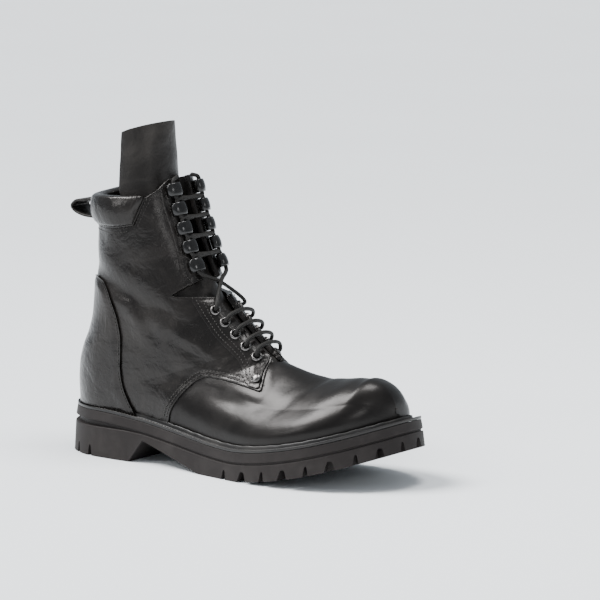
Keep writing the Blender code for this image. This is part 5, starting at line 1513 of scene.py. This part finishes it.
def seat(share, far, side):
    # point, outward normal, direction up the facing and direction away from the throat
    row = np.interp(share * throatLength, ridgeRun, ridgeRows)
    v = np.linspace(0, 0.6, 241)
    v = side * np.interp(far, np.abs(upperPoint(row, side * v)[:, 1]), v)
    p, n = upperFrame(np.array(row), np.array(v))
    up = upperPoint(row - 0.05, v) - upperPoint(row + 0.05, v)
    up = unit(up - n * (up @ n))
    away = np.cross(up, n)
    return p, n, up, away * np.sign(away[1] * side)


def eyeletSeat(k, side):
    share = k / 4
    far = fitting["eyeletReach"]
    span = fitting["eyeletSpan"]
    return seat(span[0] + (span[1] - span[0]) * share, far[0] + (far[1] - far[0]) * share, side)


def hookShare(k):
    return fitting["hookSpan"][0] + (fitting["hookSpan"][1] - fitting["hookSpan"][0]) * k / 4


def hookSeat(k, side):
    return seat(hookShare(k), fitting["hookReach"], side)


def turnedPiece(name, profile, place, material, count=40):
    # turned body: a profile of radius and height above the facing (mm), carried round the seat's normal
    p, n, up, away = place
    a = np.linspace(0, 2 * np.pi, count, endpoint=False)
    spoke = np.cos(a)[:, None] * up + np.sin(a)[:, None] * away
    points = np.array([p + n * (onFacing + h * mm) + spoke * r for r, h in profile])
    return putMesh(name, points, stripFaces(len(profile), count, closed=True).tolist(), material)


big, small = fitting["eyelet"], fitting["hole"]
ringProfile = [(big, -0.9), (big, 0.15), (big - 0.15 * mm, 0.50), (big - 0.5 * mm, 0.85), (big - 0.95 * mm, 1.08),
               (small + 0.55 * mm, 1.02), (small + 0.2 * mm, 0.7), (small, 0.2), (small, -0.9)]
floorProfile = [(small + 0.1 * mm, -0.45), (0.9 * mm, -0.75)]
rivetProfile = [(share * fitting["rivet"], h) for share, h in (
    (1, -0.8), (1, 0.2), (0.95, 0.5), (0.82, 0.95), (0.6, 1.3), (0.35, 1.5), (0.1, 1.56))]
for word, side in (("outer", -1), ("inner", 1)):
    for k in range(5):
        place = eyeletSeat(k, side)
        made = turnOutward(turnedPiece(f"eyeletRing_{word}_{k + 1}", ringProfile, place, ringMetal))
        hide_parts(f"eyelet_{word}_{k + 1}")
        closeEnds(turnedPiece(f"eyeletFloor_{word}_{k + 1}", floorProfile, place, deepShade, 24))
    place = seat(fitting["rivetShare"], fitting["rivetReach"], side)
    made = turnedPiece(f"rivetDome_{word}", rivetProfile, place, ringMetal)
    closeEnds(made)
    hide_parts(f"rivet_{word}")

# speed hooks: a bent strip, plate on the facing, rising at the throat side and curling back. Its
# top is crowned across (lower by the crown at its sides, higher by the lift in the middle) and
# its free end is rounded over the last share of the line
hook = {"points": 44, "crown": 0.75 * mm, "lift": 0.3 * mm, "curl": (0.30, 0.55), "end": 0.16, "endWide": 0.66}
hookMiddle = [(0.40, 0.09), (-0.18, 0.09), (-0.31, 0.12), (-0.385, 0.25), (-0.395, 0.58), (-0.33, 0.78),
              (-0.18, 0.880), (0.02, 0.91), (0.22, 0.85), (0.38, 0.70), (0.47, 0.47)]
hookLine = roundCurve([(a * fitting["hookDeep"], h * fitting["hookRise"]) for a, h in hookMiddle], hook["points"])
direction = unit(np.gradient(hookLine, axis=0))
sideways = np.stack([-direction[:, 1], direction[:, 0]], 1)
half = fitting["hookPlate"] / 2
run = np.linspace(0, 1, hook["points"])
curled = blend(run, *hook["curl"])
endShare = np.clip((run - 1 + hook["end"]) / hook["end"], 0, 1)
taper = np.interp(run, [0, 0.14], [0.86, 1]) * (hook["endWide"] + (1 - hook["endWide"]) * np.sqrt(1 - endShare ** 2))
across = np.linspace(1, -1, 7)
section = [(s, 90) for s in across] + [(-1, angle) for angle in range(120, 241, 30)] + \
    [(-s, 270) for s in across] + [(1, angle) for angle in range(300, 421, 30)]
place, turned = np.array(section).T
turned = np.radians(turned)
for word, side in (("outer", -1), ("inner", 1)):
    for k in range(5):
        p, n, up, away = hookSeat(k, side)
        wideHalf = fitting["hookWide"] / 2 * taper[:, None]
        x = place * (wideHalf - half) + half * np.cos(turned)
        y = half * np.sin(turned) + curled[:, None] * (hook["lift"] - hook["crown"] * (x / wideHalf[6]) ** 2)
        along = hookLine[:, :1] + sideways[:, :1] * y
        rise = onFacing + hookLine[:, 1:] + sideways[:, 1:] * y
        rings = p + up * x[..., None] + away * along[..., None] + n * rise[..., None]
        made = putMesh(f"speedHook_{word}_{k + 1}", rings, stripFaces(*rings.shape[:2], closed=True).tolist(),
                       hookMetal)
        closeEnds(made)
        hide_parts(f"hook_{word}_{k + 1}")
print("fittings")


# laces: bars over the lower eyelets and two strands that cross between the hooks
lace = {"radius": 1.65 * mm, "sides": 16}


def lift(place, height, rise=0.0, away=0.0):
    p, n, up, aside = place
    return p + n * height + up * rise + aside * away


barLeg = [(-0.6, 0, 0), (0.9, 0, 0), (3.0, 0, -0.6), (4.6, 1.0, -5.0)]    # out of an eyelet, in mm
for k in range(1, 5):
    left, other = eyeletSeat(k, -1), eyeletSeat(k, 1)
    middle = (lift(left, 0) + lift(other, 0)) / 2
    crown = unit(left[1] + other[1])
    legs = [[lift(place, onFacing + high * mm, rise * mm, away * mm) for high, rise, away in barLeg]
            for place in (left, other)]
    points = legs[0] + [middle + crown * 12.5 * mm + left[2] * 2.4 * mm] + legs[1][::-1]
    made = tubePiece(f"laceBar_{k}", roundCurve(points, 110), lace["radius"], lace["sides"], laceYarn, 0.86)
    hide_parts(f"lace_bar_{k}")


def strand(start):
    # from the top eyelet over to the lowest hook of the other side, and on from hook to hook
    place = eyeletSeat(0, start)
    points = [lift(place, onFacing - 0.5 * mm), lift(place, onFacing + 1.0 * mm),
              lift(place, onFacing + 3.8 * mm, 0.6 * mm, -0.2 * mm)]
    side = -start
    wide, plate = fitting["hookWide"], fitting["hookPlate"]
    mid = plate + 0.5 * (fitting["hookRise"] - 2 * plate)
    for k in range(4, -1, -1):
        place = hookSeat(k, side)
        below = 0.5 if k < 4 else 1.1
        p, n = seat(hookShare(k + below), 2 * mm, side)[:2]
        points.append(np.array([p[0], 0, p[2]]) + unit(n * [1, 0, 1]) * (onFacing + (2.0 + side * 0.4) * mm))
        for rise, away in ((-wide / 2 - 2.3 * mm, -0.5), (-0.2 * wide, 0.9), (0.2 * wide, 0.9),
                           (wide / 2 + 2.3 * mm, -0.5)):
            points.append(lift(place, onFacing + mid, rise, away * mm))
        side = -side
    final = points[-1]
    points.append(final + np.array([-1, 0.0, 2.0]) * mm + np.array([0, side * 6 * mm, 0]))
    return points


for word, start in (("one", -1), ("two", 1)):
    made = tubePiece(f"laceStrand_{word}", roundCurve(strand(start), 420), lace["radius"], lace["sides"], laceYarn,
                     0.86)
    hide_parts("lace_upper")
print("laces")


# zip slider with its bridge, and the windowed pull on its own body
sliderRow = 0.42
row = np.array([sliderRow - 0.01, sliderRow, sliderRow + 0.01])
zipPoint, zipNormal, zipAcross = (part[1] for part in zipFrame(row))
zipDown = unit(np.cross(zipNormal, zipAcross))
zipDown = zipDown * np.sign(-zipDown[2])
zipAcross = np.cross(zipNormal, zipDown)
slider = {"low": 0.9 * mm + last["clearance"], "thick": 2.8 * mm, "wide": 8.4 * mm, "long": 12 * mm,
          "pinRise": 1.35 * mm}
sliderHigh = slider["low"] + slider["thick"]
pinHigh = sliderHigh + slider["pinRise"]
# slider's plan: round head above, narrower tail below
angle = np.linspace(0, 2 * np.pi, 48, endpoint=False)
c, s = np.cos(angle), np.sin(angle)
plan = np.stack([slider["long"] / 2 * np.sign(c) * np.abs(c) ** 0.8,
                 slider["wide"] / 2 * np.sign(s) * np.abs(s) ** 0.62 * (1.0 - 0.17 * (c > 0) * np.abs(c))], 1)
levels = [(0.94, slider["low"]), (1.0, slider["low"] + 0.35 * mm), (1.0, sliderHigh - 0.7 * mm),
          (0.96, sliderHigh - 0.25 * mm), (0.86, sliderHigh)]
rings = np.array([[zipPoint + (zipDown * d + zipAcross * w) * share + zipNormal * h for d, w in plan]
                  for share, h in levels])
made = putMesh("sliderBody", rings, stripFaces(len(levels), 48, closed=True).tolist(), zipMetal)
closeEnds(made)
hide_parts("zip_slider")
arch = [zipPoint + zipDown * d * mm + zipNormal * (sliderHigh + h * mm) for d, h in (
    (-2.1, -0.4), (-2.1, 0.8), (-1.9, 2.2), (-1.1, 3.15), (0.0, 3.45), (1.1, 3.15), (1.9, 2.2), (2.1, 0.8),
    (2.1, -0.4))]
s = runOf(arch)
archPath = atRun(np.linspace(0, s[-1], 50), s, np.array(arch))
made = tubePiece("sliderBridge", archPath, 0.62 * mm, 14, zipMetal, 1.3)
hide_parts("zip_slider")

pull = {"long": 27 * mm, "wide": 6.4 * mm, "thick": 1.4 * mm}
turnTo = np.stack([zipDown, np.cross(zipNormal, zipDown), zipNormal], 1)
pinPlace = zipPoint + zipNormal * pinHigh


def roundCorner(u, w, radius, start, final, count):
    # points of an arc round (u, w), angles in degrees
    return [(u + radius * np.cos(a), w + radius * np.sin(a)) for a in np.radians(np.linspace(start, final, count))]


def roundedBox(u0, u1, w0, w1, radius):
    corners = ((u1 - radius, w1 - radius, 0), (u0 + radius, w1 - radius, 90), (u0 + radius, w0 + radius, 180),
               (u1 - radius, w0 + radius, 270))
    return [q for u, w, start in corners for q in roundCorner(u, w, radius, start, start + 90, 9)]


def pullOutline():
    # round eye, then a plain bar with rounded corners
    eye, corner, wide = 4.0 * mm, 1.5 * mm, pull["wide"] / 2
    points = [(3.2 * mm - eye * np.cos(a), eye * np.sin(a)) for a in np.radians(np.linspace(-140, 140, 36))]
    points.append((0.30 * pull["long"], wide))
    points += roundCorner(pull["long"] - corner, wide - corner, corner, 90, 0, 7)
    points += roundCorner(pull["long"] - corner, corner - wide, corner, 0, -90, 7)
    return points + [(0.30 * pull["long"], -wide)]


def platePiece():
    # the pull: its outline and two openings filled as one flat face, then given thickness and round edges
    work = bmesh.new()
    loops = [pullOutline(), roundedBox(0.8 * mm, 4.9 * mm, -2.2 * mm, 2.2 * mm, 1.4 * mm),
             roundedBox(0.42 * pull["long"], 0.86 * pull["long"], -1.8 * mm, 1.8 * mm, 0.7 * mm)]
    edges = []
    for loop in loops:
        ring = [work.verts.new((u, w, 0)) for u, w in loop]
        edges += [work.edges.new((q, r)) for q, r in zip(ring, ring[1:] + ring[:1])]
    bmesh.ops.triangle_fill(work, edges=edges, use_beauty=True)
    mesh = bpy.data.meshes.new("pullTab")
    work.to_mesh(mesh)
    work.free()
    placed = np.empty(len(mesh.vertices) * 3)
    mesh.vertices.foreach_get("co", placed)
    placed = placed.reshape(-1, 3) @ turnTo.T + pinPlace + origin
    mesh.vertices.foreach_set("co", placed.reshape(-1))
    mesh.materials.append(zipMetal)
    made = bpy.data.objects.new("pullTab", mesh)
    bpy.context.scene.collection.objects.link(made)
    addThickness(made, pull["thick"], 0)
    finishBevel(made, 0.32 * mm, 3, 50)
    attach(made, "zip_pull")
    return made


made = platePiece()
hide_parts("zip_pull")
print("zip slider and pull")


# pull loop: a strap bent to a U behind the cuff
strap = {"wide": 22 * mm, "thick": 2.0 * mm, "reach": 24.5 * mm, "tall": 12.5 * mm, "drop": 8.6 * mm}
top = weltTop(0) + last["shaftHeight"] - strap["drop"]
foot = top - strap["tall"]
cuffBack = surface[:cuff["levels"], int(np.argmin(surface[10, :, 0]))]
backAt = lambda z: float(np.interp(z, cuffBack[:, 2], cuffBack[:, 0]))
above, below = backAt(top) + 0.6 * mm, backAt(foot) + 0.6 * mm
tip = backAt(top) - strap["reach"]
strapLine = roundCurve([(above, top), (above - 7 * mm, top + 0.6 * mm), (tip + 12 * mm, top - 0.5 * mm),
                        (tip + 4 * mm, top - 1.5 * mm), (tip, foot + 0.55 * strap["tall"]),
                        (tip + 2.5 * mm, foot + 0.28 * strap["tall"]), (tip + 10 * mm, foot + 0.05 * strap["tall"]),
                        (below - 8 * mm, foot - 0.4 * mm), (below, foot)], 120)
direction = unit(np.gradient(strapLine, axis=0))
sideways = np.stack([-direction[:, 1], direction[:, 0]], 1)
# half of the strap's section, shares of its width and thickness: a flat band with beaded edges
band = [(-0.5, -0.30), (-0.5, 0.30), (-0.485, 0.44), (-0.45, 0.5), (-0.40, 0.47), (-0.3, 0.5)]
band += [(-w, o) for w, o in band[:0:-1]] + [(0.5, -0.30), (0.485, -0.44), (0.45, -0.5), (0.3, -0.5), (-0.3, -0.5),
                                             (-0.45, -0.5), (-0.485, -0.44)]
rings = np.array([[(x + nx * o * strap["thick"], w * strap["wide"], z + nz * o * strap["thick"]) for w, o in band]
                  for (x, z), (nx, nz) in zip(strapLine, sideways)])
made = putMesh("pullLoopStrap", rings, stripFaces(*rings.shape[:2], closed=True).tolist(), calfSoft)
closeEnds(made)
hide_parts("pull_loop")
print("pull loop")

# the insole keeps its CAD shape with a detailed lining finish
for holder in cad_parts["insole"].material_slots:
    holder.link = "OBJECT"
    holder.material = liningLeather


# all stitches as one joined mesh
stitches = np.concatenate(stitchParts, 0)
number, rings, sides = stitches.shape[:3]
i, j, c = np.meshgrid(np.arange(number), np.arange(rings - 1), np.arange(sides), indexing="ij")
d = (c + 1) % sides
start = i * rings * sides
faces = np.stack([start + j * sides + c, start + (j + 1) * sides + c, start + (j + 1) * sides + d,
                  start + j * sides + d], -1).reshape(-1, 4)
threads = putMesh("threads", stitches, faces.tolist(), thread)
index = np.empty(len(threads.data.loops), np.int32)
threads.data.loops.foreach_get("vertex_index", index)
uv = np.stack([(index // sides % rings) / 2.0, index % sides / sides], -1)
threads.data.uv_layers.new(name="UVMap").data.foreach_set("uv", uv.reshape(-1).astype(np.float32))
turnOutward(threads, 12)
threads.data.shade_smooth()
print("threads:", number)


# camera, floor and light
view = {"turn": 37.0, "fall": 9.353, "distance": 2.800, "target": (0.150, 0.0, 0.100), "scale": 3654.0,
        "centre": (235.547, 335.303), "image": 600.0}
a, e = np.radians(view["turn"]), np.radians(view["fall"])
back = np.array([np.sin(a) * np.cos(e), -np.cos(a) * np.cos(e), np.sin(e)])
right = np.array([np.cos(a), np.sin(a), 0.0])
up = np.cross(back, right)
centre = np.array(view["target"]) + origin
shiftX = view["image"] / 2 - view["centre"][0]
shiftY = view["centre"][1] - view["image"] / 2
look = -back * view["scale"] + right * shiftX + up * shiftY
camera = bpy.data.objects.new("camera", bpy.data.cameras.new("camera"))
bpy.context.scene.collection.objects.link(camera)
camera.location = centre + back * view["distance"]
camera.rotation_euler = Vector(look).to_track_quat("-Z", "Y").to_euler()
camera.data.sensor_width = 36.0
camera.data.lens = np.linalg.norm(look) / view["image"] * 36.0
camera.data.clip_end = 30.0
bpy.context.scene.camera = camera

backdrop = {"colour": (0.905, 0.930, 0.950), "world": (0.80, 0.865, 0.93), "strength": 0.62, "sun": 5.6}
t, inn, out = newGroup("floorPaper", {"Colour": (0.7, 0.73, 0.77, 1)})
where = t.nodes.new("ShaderNodeTexCoord").outputs["Object"]
cloud = noiseNode(t, where, 3.0, 2.0)
feed(t, out["Colour"], mixColour(t, rampNode(t, cloud, 0.3, 0.7, 0.0, 0.06), inn["Colour"], (0.88, 0.90, 0.92, 1)))
feed(t, out["Roughness"], rampNode(t, cloud, 0.3, 0.7, 0.62, 0.72))
feed(t, out["Normal"], bumpNode(t, noiseNode(t, where, 700.0, 3.0), 0.00003, 0.3))
floorPaper = finish("floorPaper", t, {"Colour": backdrop["colour"]}, Specular_IOR_Level=0.25)
mesh = bpy.data.meshes.new("floor")
side = 14.0
mesh.from_pydata([(-side, -side, 0), (side, -side, 0), (side, side, 0), (-side, side, 0)], [], [(0, 1, 2, 3)])
mesh.materials.append(floorPaper)
floor = bpy.data.objects.new("floor", mesh)
bpy.context.scene.collection.objects.link(floor)
world = bpy.data.worlds.new("studio")
bpy.context.scene.world = world
world.use_nodes = True
world.node_tree.nodes["Background"].inputs[0].default_value = (*backdrop["world"], 1)
world.node_tree.nodes["Background"].inputs[1].default_value = backdrop["strength"]

# an even soft sun for the floor, then soft boxes: name, where (along the view, to its right and
# up, in metres), size, watts
sun = bpy.data.objects.new("sun", bpy.data.lights.new("sun", "SUN"))
sun.data.energy = backdrop["sun"]
sun.data.angle = np.radians(28)
bpy.context.scene.collection.objects.link(sun)
flat = back * [1, 1, 0] / np.cos(e)
sunFrom = -flat * 0.10 - right * 0.85 + np.array([0, 0, 1.30])
sun.rotation_euler = Vector(sunFrom).to_track_quat("Z", "Y").to_euler()
lamps = [
    ("top", (0.05, 0.25, 1.45), (0.50, 0.45), 14.0),
    ("left", (0.55, -1.25, 0.85), (0.26, 0.55), 4.5),
    ("front", (1.6, 0.55, 0.75), (0.35, 0.35), 3.0),
]
for name, place, size, power in lamps:
    lamp = bpy.data.lights.new(name, "AREA")
    lamp.shape = "RECTANGLE"
    lamp.size, lamp.size_y = size
    lamp.energy = power
    made = bpy.data.objects.new(name, lamp)
    bpy.context.scene.collection.objects.link(made)
    spot = centre * [1, 1, 0] + flat * place[0] + right * place[1] + np.array([0, 0, place[2]])
    made.location = spot
    made.rotation_euler = Vector(centre - spot).to_track_quat("-Z", "Y").to_euler()
print("camera and light")

bpy.context.view_layer.update()
